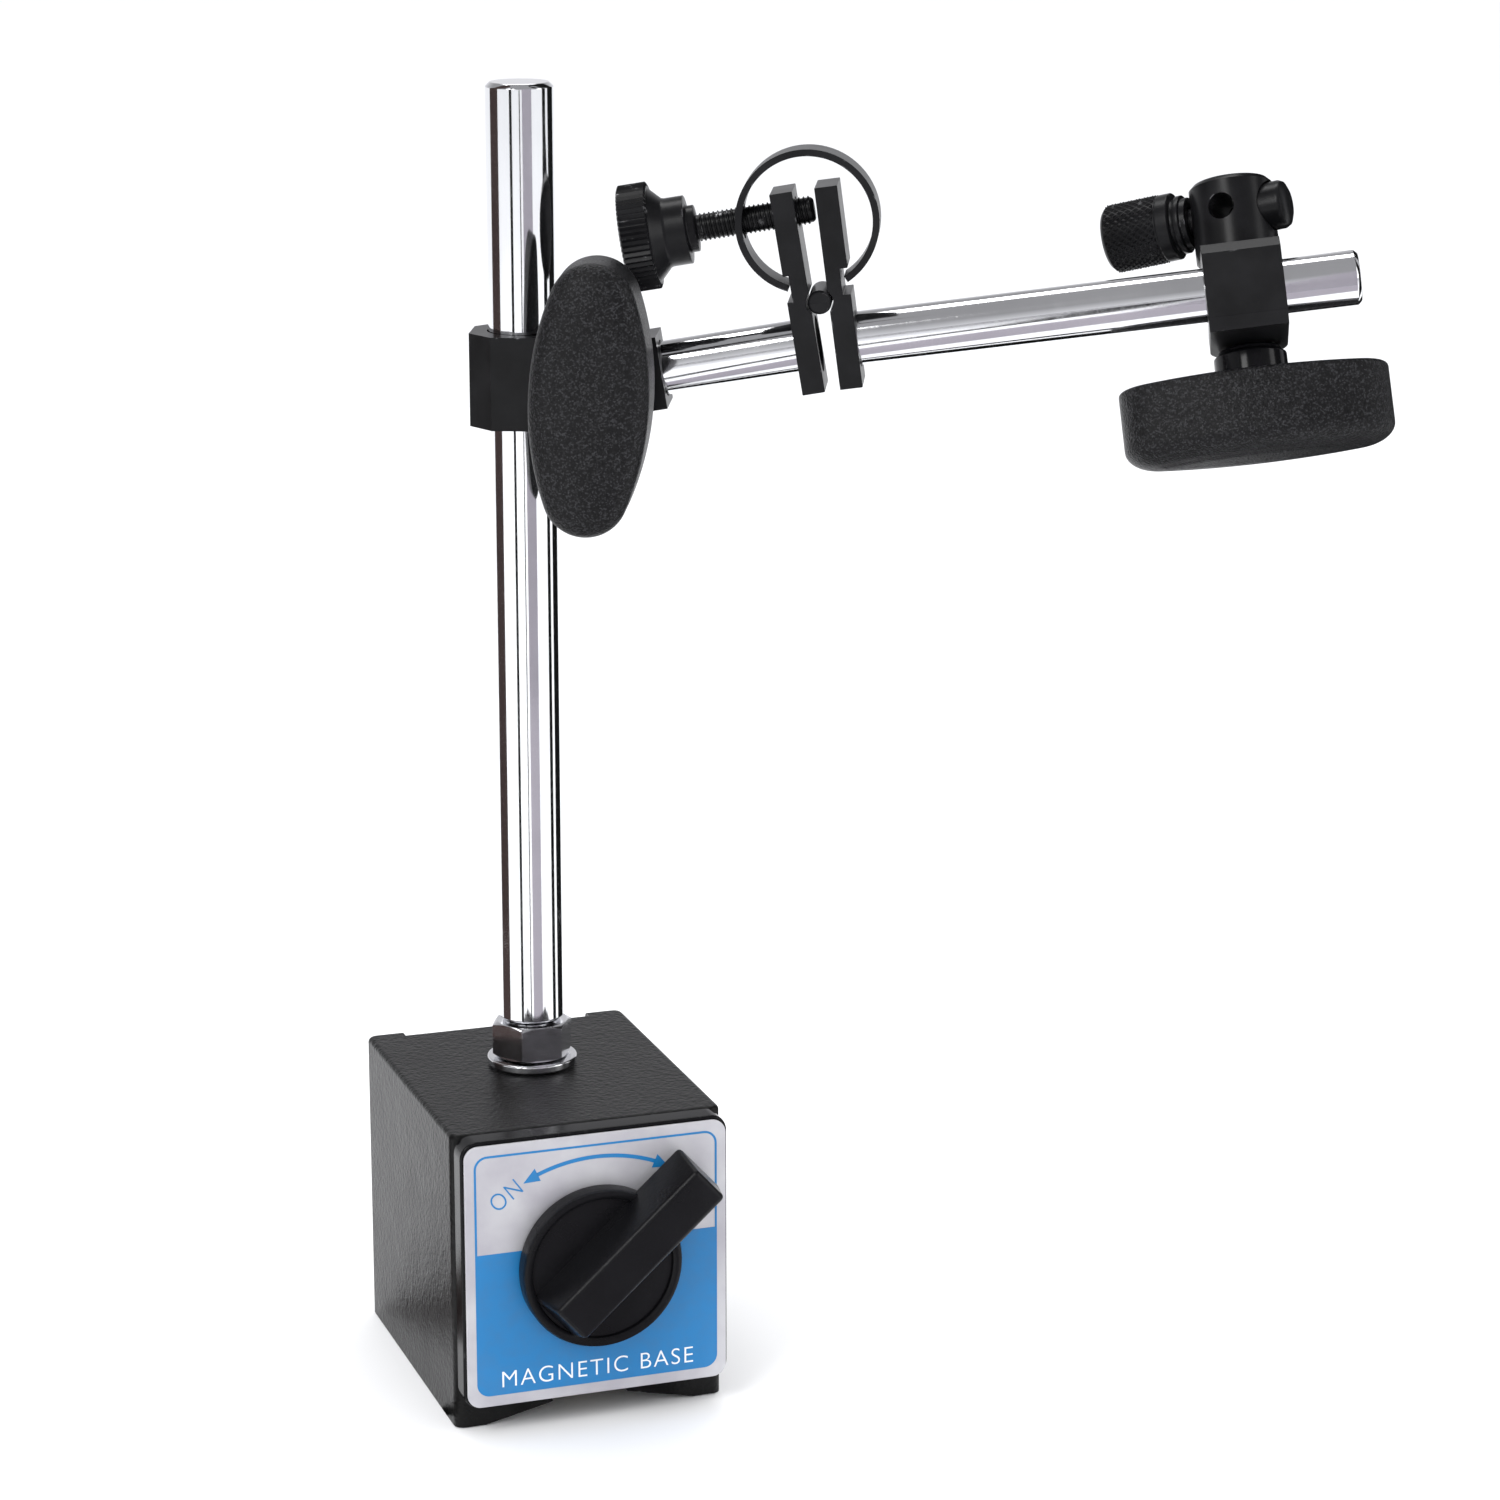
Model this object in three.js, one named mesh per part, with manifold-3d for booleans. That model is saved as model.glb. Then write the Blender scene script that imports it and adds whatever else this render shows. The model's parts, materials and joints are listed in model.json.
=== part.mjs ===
// Switchable magnetic base with a column, a hinged arm with fine adjustment and a swivelling dial clamp.
// Millimetres, +Z up. The base stands on z = 0 with its switch facing -Y; the arm reaches out to +X.
import * as THREE from 'three';
import { mergeVertices } from 'three/addons/utils/BufferGeometryUtils.js';
import Module from 'manifold-3d';

const wasm = await Module();
wasm.setup();

// ---------------------------------------------------------------- driving dimensions

const GAP = 0.3; // kept between neighbours that touch

// Base block
const BASE_WIDTH = 50;
const BASE_LENGTH = 60;
const BASE_HEIGHT = 55;
const SPACER_WIDTH = 5;
const FOOT_WIDTH = 5.5;
const SLOT_WIDTH = 14;
const SLOT_ROOF = 8;
const FLANK_RISE = 2.8;
const ROTOR_HEIGHT = 30.5; // axis of the switch above the feet
const ROTOR_BORE = 29;
const REAR_RELIEF = { width: 36, depth: 2.6 };

// Switch
const ROTOR_LENGTH = 50;
const MAGNET_THICKNESS = 9;
const SHAFT_DIAMETER = 7;
const DRIVE_DISC = { diameter: 26, thickness: 2.4 };
const PIVOT_DIAMETER = 6;
const ROTOR_CLEARANCE = 0.4;
const SWITCH_REST = -48; // lever leans this far to the right of upright in OFF, degrees
const SWITCH_DISC = 29.4;
const SWITCH_DISC_THICKNESS = 3.6;
const LEVER = { tip: 24.6, tail: 12.4, base: 11.6, crown: 7.6, proud: 6.6 };

// Front and rear covers
const COVER = { width: 49.2, bottom: 5.2, thickness: 4, corner: 3 };
const LABEL = { width: 48.2, height: 48.8, thickness: 0.5, corner: 2.5 };
const REAR_COVER = { width: 34, height: 40, thickness: 1, corner: 2 };
const REAR_SCREW = { x: 14.4, low: 14, high: 47, length: 6.5, shank: 2.4, head: 4.8, headHeight: 0.8 };

// Column
const COLUMN_DIAMETER = 12;
const COLUMN_PLACE = { x: 0, y: 4.5 };
const COLUMN_BOTTOM = 64;
const COLUMN_TOP = 234.5;
const STUD_DIAMETER = 7.8;
const STUD_DEPTH = 8.1;
const WASHER = { diameter: 16.5, thickness: 1.5 };
const NUT = { flats: 13, height: 6.5 };
const BOLT_WASHER = { diameter: 16, thickness: 1.3 };
const BOLT_HEAD_HEIGHT = 5.3;

// Column clamp and arm joint
const JOINT_HEIGHT = 182.7;
const ARM_YAW = -23; // degrees, the arm comes forward of +X
const STRAP = { height: 16.5, half: 9, inner: 6.25, back: 9, chamferX: 4.4, chamferY: 4.8 };
const BOLT_REACH = 14.2; // column axis to clamp bolt
const BOLT_DIAMETER = 7.9;
const EYE_RADIUS = 7.8;
const EYE_THICKNESS = 11.8;

// Hand knobs, both clamps
const KNOB = { length: 48, width: 21.4, thickness: 14.3, crown: 3.8, shoulder: 5.5, coreTip: 2, lean: 2.7 };
const KNOB_POCKET_DEPTH = 0.8; // seat to the insert
const COLLAR = { diameter: 12.9, length: 4.9, neck: 0.9, neckLength: 0.8 };
const INSERT = { diameter: 12.6, length: 8 };

// Arm
const ARM_DIAMETER = 9.5;
const ARM_TILT = 9.6; // inner arm above level
const WEDGE = 2; // outer arm lies this much flatter
const PLATE = { thickness: 4, width: 12, below: 7.8, above: 27.7 };
const ROLLER = { diameter: 4.2, reach: 40.4, height: 7.9 };
const PLATE_TO_ROLLER = 1.6;
const ROD_END = 93.3; // roller axis to the free end of the outer rod
const SPRING = { radius: 12, thickness: 1.2, width: 8, height: 21.8, gape: 24.9 };
const NOTCH = { height: 4.6, above: 3.1, inner: 1, outer: 1.4 };
const FINE_AXIS = 23.4; // fine screw above the inner arm's axis
const FINE = { rim: 18.8, rimFrom: 8, rimTo: 13.1, teeth: 28, shank: 4.9, shankEnd: 41.85 };

// Dial clamp
const CLAMP_REACH = 73.3; // roller axis to the dial clamp along the outer rod
const CLAMP_ROLL = 22.5; // its top leans back
const ROD_STRAP = { width: 13.7, half: 7.75, inner: 5.0, front: 7, chamfer: 2.05 };
const STEM_REACH = 11; // rod axis to the turret's stem
const TURRET = { diameter: 14.8, top: 22.4, yaw: -18, hole: 4.7 };
const DRAW_BAR = { diameter: 8.6, height: 16.8, end: 10.4, thread: 5 };

// ---------------------------------------------------------------- finishes

const finish = (color, roughness, metalness) =>
  new THREE.MeshStandardMaterial({ color, roughness, metalness });

const BLACK_PAINT = finish(0x17171a, 0.55, 0.1);
const BLACK_OXIDE = finish(0x1c1c1f, 0.42, 0.6);
const GLOSS_BLACK = finish(0x0b0b0d, 0.18, 0.1);
const BLACK_NYLON = finish(0x141416, 0.6, 0);
const CHROME = finish(0xd6d8dc, 0.1, 1);
const BRASS = finish(0xc49a4a, 0.35, 1);
const STEEL = finish(0x8d8f94, 0.4, 1);
const MAGNET_GREY = finish(0x3c3d41, 0.5, 0.7);
const LABEL_FACE = finish(0x2a86cc, 0.35, 0.2);

// ---------------------------------------------------------------- geometry helpers

const rad = THREE.MathUtils.degToRad;

// A closed geometry as a solid that can be cut and joined.
function solid(geometry) {
  const bare = geometry.clone();
  bare.deleteAttribute('normal');
  bare.deleteAttribute('uv');
  const merged = mergeVertices(bare, 1e-4);
  return new wasm.Manifold(new wasm.Mesh({
    numProp: 3,
    vertProperties: new Float32Array(merged.attributes.position.array),
    triVerts: new Uint32Array(merged.index.array),
  }));
}

function geometryOf(manifold) {
  const { vertProperties, triVerts } = manifold.getMesh();
  const geometry = new THREE.BufferGeometry();
  geometry.setAttribute('position', new THREE.BufferAttribute(vertProperties, 3));
  geometry.setIndex(new THREE.BufferAttribute(triVerts, 1));
  geometry.computeVertexNormals();
  return geometry;
}

const cut = (geometry, ...tools) =>
  geometryOf(tools.reduce((rest, tool) => rest.subtract(solid(tool)), solid(geometry)));
const join = (geometry, ...others) =>
  geometryOf(others.reduce((whole, other) => whole.add(solid(other)), solid(geometry)));
const shared = (a, b) => geometryOf(solid(a).intersect(solid(b)));

// Rods and bores along each axis, from one end to the other.
const rodZ = (radius, from, to, sides = 32) =>
  new THREE.CylinderGeometry(radius, radius, to - from, sides)
    .rotateX(Math.PI / 2).translate(0, 0, (from + to) / 2);
const rodY = (radius, from, to, sides) => rodZ(radius, from, to, sides).rotateX(-Math.PI / 2);
const rodX = (radius, from, to, sides) => rodZ(radius, from, to, sides).rotateY(Math.PI / 2);

const block = (x, y, z) =>
  new THREE.BoxGeometry(x[1] - x[0], y[1] - y[0], z[1] - z[0])
    .translate((x[0] + x[1]) / 2, (y[0] + y[1]) / 2, (z[0] + z[1]) / 2);

// A turned piece: [radius, height] points from the lower end of its axis to the upper, about Z.
function turned(points, sides = 32) {
  const outline = points.map(([r, z]) => new THREE.Vector2(r, z));
  return new THREE.LatheGeometry(outline, sides).rotateX(Math.PI / 2);
}

// A turned piece with a hole right through: its outline closes on itself.
const turnedRing = (points, sides) => turned([...points, points[0]], sides);

const flat = (shape, from, to, curveSegments = 16) =>
  new THREE.ExtrudeGeometry(shape, { depth: to - from, bevelEnabled: false, curveSegments })
    .translate(0, 0, from);
// The same with the outline's second coordinate standing up Z, between two places along Y.
const upright = (shape, from, to, curveSegments) =>
  flat(shape, -to, -from, curveSegments).rotateX(Math.PI / 2);

const outline = (points) => new THREE.Shape(points.map(([x, y]) => new THREE.Vector2(x, y)));

function roundedRectangle(width, bottom, top, corner) {
  const half = width / 2;
  const shape = new THREE.Shape();
  shape.moveTo(-half + corner, bottom);
  shape.lineTo(half - corner, bottom);
  shape.absarc(half - corner, bottom + corner, corner, -Math.PI / 2, 0);
  shape.absarc(half - corner, top - corner, corner, 0, Math.PI / 2);
  shape.absarc(-half + corner, top - corner, corner, Math.PI / 2, Math.PI);
  shape.absarc(-half + corner, bottom + corner, corner, Math.PI, 1.5 * Math.PI);
  return shape;
}

function hexagon(flats) {
  const radius = flats / Math.sqrt(3);
  const corners = [0, 1, 2, 3, 4, 5].map((i) => rad(60 * i));
  return outline(corners.map((a) => [radius * Math.cos(a), radius * Math.sin(a)]));
}

function piece(name, geometry, material) {
  const mesh = new THREE.Mesh(geometry, material);
  mesh.name = name;
  return mesh;
}

function frameAt(x, y, z) {
  const frame = new THREE.Group();
  frame.position.set(x, y, z);
  return frame;
}

// ---------------------------------------------------------------- base block

const halfWidth = BASE_WIDTH / 2;
const halfLength = BASE_LENGTH / 2;
const frontFace = -halfLength;

// One pole's cross-section: foot, flank, slot wall and half of the rotor's bore. side is -1 or 1.
function poleOutline(side) {
  const seam = SPACER_WIDTH / 2 + GAP;
  const slot = SLOT_WIDTH / 2;
  const bore = ROTOR_BORE / 2;
  const turn = Math.asin(seam / bore);
  const arc = [];
  const steps = 20;
  for (let i = 0; i <= steps; i += 1) {
    const a = -Math.PI / 2 + turn + (i / steps) * (Math.PI - 2 * turn);
    arc.push([bore * Math.cos(a), ROTOR_HEIGHT + bore * Math.sin(a)]);
  }
  const right = [
    [halfWidth, 0], [halfWidth, BASE_HEIGHT], [seam, BASE_HEIGHT], ...arc.reverse(),
    [seam, SLOT_ROOF], [slot, SLOT_ROOF], [slot, FLANK_RISE], [halfWidth - FOOT_WIDTH, 0],
  ];
  return outline(side > 0 ? right : right.map(([x, z]) => [-x, z]).reverse());
}

const studHole = () =>
  rodZ(STUD_DIAMETER / 2 + GAP, BASE_HEIGHT - STUD_DEPTH - GAP, BASE_HEIGHT + 1)
    .translate(COLUMN_PLACE.x, COLUMN_PLACE.y, 0);
const relief = () => {
  const half = REAR_RELIEF.width / 2;
  return block([-half, half], [halfLength - REAR_RELIEF.depth, halfLength + 1], [-1, BASE_HEIGHT + 1]);
};
// Two holes along Y, one low on the left and one high on the right.
function screwHoles(halfX, low, high, from, to, radius) {
  return [[-halfX, low], [halfX, high]].map(([x, z]) => rodY(radius, from, to, 16).translate(x, 0, z));
}

const rearScrewHoles = (radius) => screwHoles(
  REAR_SCREW.x, REAR_SCREW.low, REAR_SCREW.high, halfLength - 8, halfLength + 1, radius);

function poleBlock(side) {
  const bar = upright(poleOutline(side), -halfLength, halfLength);
  return cut(bar, studHole(), relief(), ...rearScrewHoles(REAR_SCREW.shank / 2 + GAP));
}

function spacer(low, high) {
  const half = SPACER_WIDTH / 2;
  return cut(block([-half, half], [-halfLength, halfLength], [low, high]), studHole(), relief());
}

function frontCover() {
  const plate = upright(
    roundedRectangle(COVER.width, COVER.bottom, BASE_HEIGHT, COVER.corner),
    frontFace - GAP - COVER.thickness, frontFace - GAP, 4);
  const shaft = rodY(SHAFT_DIAMETER / 2 + GAP, -60, 0).translate(0, 0, ROTOR_HEIGHT);
  return cut(plate, shaft);
}

const coverFace = frontFace - GAP - COVER.thickness;
const labelFace = coverFace - GAP - LABEL.thickness;

function labelPlate() {
  const top = BASE_HEIGHT - 0.6;
  const plate = upright(
    roundedRectangle(LABEL.width, top - LABEL.height, top, LABEL.corner),
    labelFace, coverFace - GAP, 4);
  return cut(plate, rodY(SHAFT_DIAMETER / 2 + 2, -60, 0).translate(0, 0, ROTOR_HEIGHT));
}

const rearFloor = halfLength - REAR_RELIEF.depth;

function rearCover() {
  const middle = ROTOR_HEIGHT;
  const plate = upright(
    roundedRectangle(
      REAR_COVER.width, middle - REAR_COVER.height / 2, middle + REAR_COVER.height / 2, REAR_COVER.corner),
    rearFloor + GAP, rearFloor + GAP + REAR_COVER.thickness, 4);
  const pivotHole = rodY(PIVOT_DIAMETER / 2 + GAP, 0, 60).translate(0, 0, middle);
  return cut(plate, pivotHole, ...rearScrewHoles(REAR_SCREW.shank / 2 + GAP + 0.1));
}

// A cheese-head screw seen from behind the base, its head outwards along +Y.
function rearScrew(x, z) {
  const seat = rearFloor + REAR_COVER.thickness + 2 * GAP;
  const end = seat - REAR_SCREW.length;
  const top = seat + REAR_SCREW.headHeight;
  const shank = REAR_SCREW.shank / 2;
  const head = REAR_SCREW.head / 2;
  return turned([[0, end], [shank, end], [shank, seat], [head, seat], [head, top], [0, top]], 16)
    .rotateX(-Math.PI / 2).translate(x, 0, z);
}

// ---------------------------------------------------------------- switch and magnet rotor

const rotorRadius = ROTOR_BORE / 2 - ROTOR_CLEARANCE;
const rotorFront = -26;
const rotorBack = rotorFront + ROTOR_LENGTH;

function rotorShoe(side) {
  const chord = MAGNET_THICKNESS / 2 + GAP;
  const reach = Math.acos(chord / rotorRadius);
  const steps = 18;
  const points = [];
  for (let i = 0; i <= steps; i += 1) {
    const a = side * Math.PI / 2 - reach + (i / steps) * 2 * reach;
    points.push([rotorRadius * Math.cos(a), rotorRadius * Math.sin(a)]);
  }
  return upright(outline(points), rotorFront, rotorBack);
}

function rotorMagnet() {
  const half = Math.sqrt((rotorRadius - 0.3) ** 2 - (MAGNET_THICKNESS / 2) ** 2);
  return block([-half, half], [rotorFront, rotorBack], [-MAGNET_THICKNESS / 2, MAGNET_THICKNESS / 2]);
}

const knobBack = labelFace - 0.5;
const shaftEnd = knobBack - SWITCH_DISC_THICKNESS - 4;

// A drive disc on the front of the rotor with the shaft that carries the switch knob.
const switchShaft = () => join(
  rodY(DRIVE_DISC.diameter / 2, rotorFront - GAP - DRIVE_DISC.thickness, rotorFront - GAP),
  rodY(SHAFT_DIAMETER / 2, shaftEnd, rotorFront - GAP - 1));
const rearPivot = () => join(
  rodY(DRIVE_DISC.diameter / 2, rotorBack + GAP, rotorBack + GAP + DRIVE_DISC.thickness),
  rodY(PIVOT_DIAMETER / 2, rotorBack + GAP + 1, rearFloor + GAP + REAR_COVER.thickness, 24));

// The hand switch: a rimmed disc with a bar across it, pointing up its own +Z.
function switchKnob() {
  const r = SWITCH_DISC / 2;
  const front = SWITCH_DISC_THICKNESS;
  const disc = turned([
    [0, 0], [r - 0.4, 0], [r, 0.4], [r, front - 0.4], [r - 0.4, front],
    [r - 1.5, front], [r - 1.9, front - 0.9], [0, front - 0.9],
  ], 48).rotateX(Math.PI / 2).translate(0, knobBack, 0);
  const wide = LEVER.base / 2;
  const crown = LEVER.crown / 2;
  const low = front - 1.2;
  const high = front + LEVER.proud;
  const section = outline([[-wide, -low], [-crown, 0.8 - high], [0.8 - crown, -high],
    [crown - 0.8, -high], [crown, 0.8 - high], [wide, -low]]);
  const leverBar = flat(section, -LEVER.tail, LEVER.tip).translate(0, knobBack, 0);
  const hole = rodY(SHAFT_DIAMETER / 2 + GAP, shaftEnd - GAP, 0);
  return cut(join(disc, leverBar), hole);
}

// ---------------------------------------------------------------- column

const washerSeat = BASE_HEIGHT + GAP;
const nutSeat = washerSeat + WASHER.thickness + GAP;

function columnRod() {
  const r = COLUMN_DIAMETER / 2;
  const stud = STUD_DIAMETER / 2;
  const studEnd = BASE_HEIGHT - STUD_DEPTH;
  return turned([
    [0, studEnd], [stud - 0.8, studEnd], [stud, studEnd + 0.8], [stud, COLUMN_BOTTOM],
    [r - 0.7, COLUMN_BOTTOM], [r, COLUMN_BOTTOM + 0.7],
    [r, COLUMN_TOP - 0.8], [r - 0.8, COLUMN_TOP], [0, COLUMN_TOP],
  ], 36);
}

const columnWasher = () => {
  const r = WASHER.diameter / 2;
  const inner = STUD_DIAMETER / 2 + GAP;
  const top = washerSeat + WASHER.thickness;
  return turnedRing([[inner, washerSeat], [r, washerSeat], [r, top - 0.4], [r - 0.5, top], [inner, top]]);
};

function columnNut() {
  const top = nutSeat + NUT.height;
  const tip = NUT.flats / Math.sqrt(3);
  const chamfered = turned([
    [0, nutSeat], [tip - 0.3, nutSeat], [tip, nutSeat + 0.4],
    [tip, top - 0.5], [NUT.flats / 2, top], [0, top],
  ]);
  const bored = cut(flat(hexagon(NUT.flats), nutSeat, top), rodZ(STUD_DIAMETER / 2 + GAP, 0, 99));
  return shared(bored, chamfered);
}

// ---------------------------------------------------------------- hand knobs and their hardware
// Each is made along +Z with its clamping face at z = 0 and its crown outwards.

// A pointed oval with rounded tips: two long arcs and two tip arcs, its length along X.
function ovalOutline(length, width, tip) {
  const a = length / 2 - tip;
  const b = width / 2;
  const big = (a * a + b * b - tip * tip) / (2 * (b - tip));
  const drop = big - b;
  const swing = Math.atan2(a, drop);
  const shape = new THREE.Shape();
  shape.absarc(0, drop, big, -Math.PI / 2 - swing, -Math.PI / 2 + swing);
  shape.absarc(a, 0, tip, -Math.PI / 2 + swing, Math.PI / 2 - swing);
  shape.absarc(0, -drop, big, Math.PI / 2 - swing, Math.PI / 2 + swing);
  shape.absarc(-a, 0, tip, Math.PI / 2 + swing, 1.5 * Math.PI - swing);
  return shape;
}

function handKnob() {
  const wall = KNOB.thickness - KNOB.crown;
  const body = new THREE.ExtrudeGeometry(
    ovalOutline(KNOB.length - 2 * KNOB.shoulder, KNOB.width - 2 * KNOB.shoulder, KNOB.coreTip),
    {
      depth: 2 * wall, bevelEnabled: true, bevelSize: KNOB.shoulder, bevelThickness: KNOB.crown,
      bevelSegments: 2, curveSegments: 7,
    }).translate(0, 0, -wall);
  const kept = block([-40, 40], [-40, 40], [0, 40]);
  const pocket = rodZ(INSERT.diameter / 2 + GAP, -1, KNOB_POCKET_DEPTH + INSERT.length + GAP, 32);
  return cut(shared(body, kept), pocket);
}

const knobInsert = () => {
  const r = INSERT.diameter / 2;
  const inner = BOLT_DIAMETER / 2 + GAP;
  const from = KNOB_POCKET_DEPTH;
  const to = from + INSERT.length;
  return turnedRing([[inner, from], [r, from], [r, to], [inner, to]], 32);
};

// The polished collar between a strap's leg and its knob.
const knobCollar = () => {
  const r = COLLAR.diameter / 2;
  const inner = BOLT_DIAMETER / 2 + GAP;
  const end = -GAP;
  const start = end - COLLAR.length;
  return turnedRing([
    [inner, start], [r - COLLAR.neck, start], [r - COLLAR.neck, start + COLLAR.neckLength],
    [r, start + COLLAR.neckLength + 0.3],
    [r, end - 0.4], [r - 0.4, end], [inner, end],
  ], 32);
};

// ---------------------------------------------------------------- column clamp

// A strap bent round a rod at the origin: closed end towards -X, two legs to +X, seen from above.
function strapOutline({ half, inner, back, chamferX, chamferY, reach }) {
  const shape = new THREE.Shape();
  shape.moveTo(-back, -half + chamferY);
  shape.lineTo(-back + chamferX, -half);
  shape.lineTo(reach, -half);
  shape.lineTo(reach, -inner);
  shape.lineTo(0, -inner);
  shape.absarc(0, 0, inner, -Math.PI / 2, Math.PI / 2, true);
  shape.lineTo(reach, inner);
  shape.lineTo(reach, half);
  shape.lineTo(-back + chamferX, half);
  shape.lineTo(-back, half - chamferY);
  return shape;
}

// The strap with its legs rounded about the bolt that passes through them along Y.
function boltedStrap(section, height, boltReach) {
  const nose = height / 2;
  const bent = flat(strapOutline({ ...section, reach: boltReach + nose }), -nose, nose, 12);
  const side = new THREE.Shape();
  side.moveTo(-section.back - 1, -nose - 0.01);
  side.lineTo(boltReach, -nose - 0.01);
  side.absarc(boltReach, 0, nose + 0.01, -Math.PI / 2, Math.PI / 2);
  side.lineTo(-section.back - 1, nose + 0.01);
  const rounded = shared(bent, upright(side, -section.half - 1, section.half + 1, 16));
  const hole = rodY(BOLT_DIAMETER / 2 + GAP, -30, 30).translate(boltReach, 0, 0);
  return cut(rounded, hole);
}

const legFace = STRAP.half;
const knobSeat = legFace + 2 * GAP + COLLAR.length;

function clampBolt() {
  const seat = legFace + GAP + BOLT_WASHER.thickness + GAP;
  const head = flat(hexagon(NUT.flats), seat, seat + BOLT_HEAD_HEIGHT);
  const shank = rodZ(BOLT_DIAMETER / 2, -knobSeat - 0.5 - INSERT.length, seat + 1);
  return join(head, shank).rotateX(-Math.PI / 2);
}

const boltWasher = () => {
  const inner = BOLT_DIAMETER / 2 + GAP;
  const seat = legFace + GAP;
  const top = seat + BOLT_WASHER.thickness;
  const r = BOLT_WASHER.diameter / 2;
  return turnedRing([[inner, seat], [r, seat], [r, top], [inner, top]]).rotateX(-Math.PI / 2);
};

// ---------------------------------------------------------------- arm (along +X from the clamp bolt)

function armEye() {
  const boss = 11;
  const half = 6.4;
  const ring = rodY(EYE_RADIUS, -EYE_THICKNESS / 2, EYE_THICKNESS / 2);
  const socket = block([0, boss], [-EYE_THICKNESS / 2, EYE_THICKNESS / 2], [-half, half]);
  return cut(
    join(ring, socket),
    rodY(BOLT_DIAMETER / 2 + GAP, -20, 20),
    rodX(ARM_DIAMETER / 2 + 0.25, 5.3, boss + 1));
}

// A polished rod along X with both ends chamfered.
function armRod(from, to) {
  const r = ARM_DIAMETER / 2;
  return turned([[0, from], [r - 0.6, from], [r, from + 0.6], [r, to - 0.6], [r - 0.6, to], [0, to]])
    .rotateY(Math.PI / 2);
}

// A hinge plate across the arm. face is its inner face along X, side is where its thickness goes.
function hingePlate(face, side, rollerHeight, tools) {
  const low = rollerHeight - ROLLER.height - PLATE.below;
  const high = rollerHeight - ROLLER.height + PLATE.above;
  const outer = face + side * PLATE.thickness;
  const corner = 0.8;
  const shape = outline([
    [face, low], [face, high - corner], [face + side * corner, high], [outer - side * corner, high],
    [outer, high - corner], [outer, low + corner], [outer - side * corner, low],
  ]);
  return cut(upright(shape, -PLATE.width / 2, PLATE.width / 2), ...tools);
}

const rollerGroove = (x, z) =>
  rodY(ROLLER.diameter / 2 + GAP, -20, 20, 24).translate(x, 0, z);
const springNotch = (from, to, middle) =>
  block([from, to], [-20, 20], [middle - NOTCH.height / 2, middle + NOTCH.height / 2]);

const innerFace = ROLLER.reach - PLATE_TO_ROLLER;
const innerOuterFace = innerFace - PLATE.thickness;

const innerPlate = () => hingePlate(innerFace, -1, ROLLER.height, [
  rodX(ARM_DIAMETER / 2 + 0.25, 0, 60),
  rodX(2.75, 0, 60, 24).translate(0, 0, FINE_AXIS),
  rollerGroove(ROLLER.reach, ROLLER.height),
  springNotch(innerOuterFace - 1, innerOuterFace + NOTCH.inner, ROLLER.height + NOTCH.above),
]);

const outerPlate = () => hingePlate(PLATE_TO_ROLLER, 1, 0, [
  rodX(ARM_DIAMETER / 2 + 0.25, -9, 9).translate(0, 0, -ROLLER.height),
  rollerGroove(0, 0),
  springNotch(
    PLATE_TO_ROLLER + PLATE.thickness - NOTCH.outer, PLATE_TO_ROLLER + PLATE.thickness + 1, NOTCH.above),
]);

// A flat strip bent into a nearly closed ring, its two ends in the plates' notches.
function springStrip() {
  const inner = SPRING.radius - SPRING.thickness / 2;
  const outer = SPRING.radius + SPRING.thickness / 2;
  const from = -Math.PI / 2 + rad(SPRING.gape);
  const to = 1.5 * Math.PI - rad(SPRING.gape);
  const shape = new THREE.Shape();
  shape.absarc(0, 0, outer, from, to);
  shape.absarc(0, 0, inner, to, from, true);
  const ring = upright(shape, -SPRING.width / 2, SPRING.width / 2, 24)
    .translate(ROLLER.reach, 0, SPRING.height);
  const hole = rodX(3.2, ROLLER.reach - outer - 2, ROLLER.reach - inner + 3, 24).translate(0, 0, FINE_AXIS);
  return cut(ring, hole);
}

// The fine-adjustment screw along X: serrated rim, cone, collar and shank.
function fineScrew() {
  const r = FINE.rim / 2;
  const shank = FINE.shank / 2;
  const teeth = [];
  for (let i = 0; i < 2 * FINE.teeth; i += 1) {
    const a = (Math.PI * i) / FINE.teeth;
    const at = i % 2 ? r - 0.7 : r;
    teeth.push([at * Math.cos(a), at * Math.sin(a)]);
  }
  const rim = flat(outline(teeth), FINE.rimFrom + 0.4, FINE.rimTo);
  const core = turned([
    [0, FINE.rimFrom], [7.6, FINE.rimFrom], [8.4, FINE.rimFrom + 0.6], [8.4, FINE.rimTo + 0.2],
    [6.1, 15.6], [6, 19.4], [4.1, 19.6], [4, 20.9], [shank, 21.2],
    [shank, FINE.shankEnd - 0.5], [shank - 0.5, FINE.shankEnd], [0, FINE.shankEnd],
  ], 24);
  return join(core, rim).rotateY(Math.PI / 2).translate(0, 0, FINE_AXIS);
}

// ---------------------------------------------------------------- dial clamp (rod along X, stem along Z)

function rodStrap() {
  const section = {
    half: ROD_STRAP.half, inner: ROD_STRAP.inner, back: ROD_STRAP.front,
    chamferX: ROD_STRAP.chamfer, chamferY: ROD_STRAP.chamfer,
  };
  return boltedStrap(section, ROD_STRAP.width, STEM_REACH).rotateX(-Math.PI / 2).rotateZ(Math.PI / 2);
}

const stemEnd = -(ROD_STRAP.half + 2 * GAP + COLLAR.length + 0.5 + INSERT.length);

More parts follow.
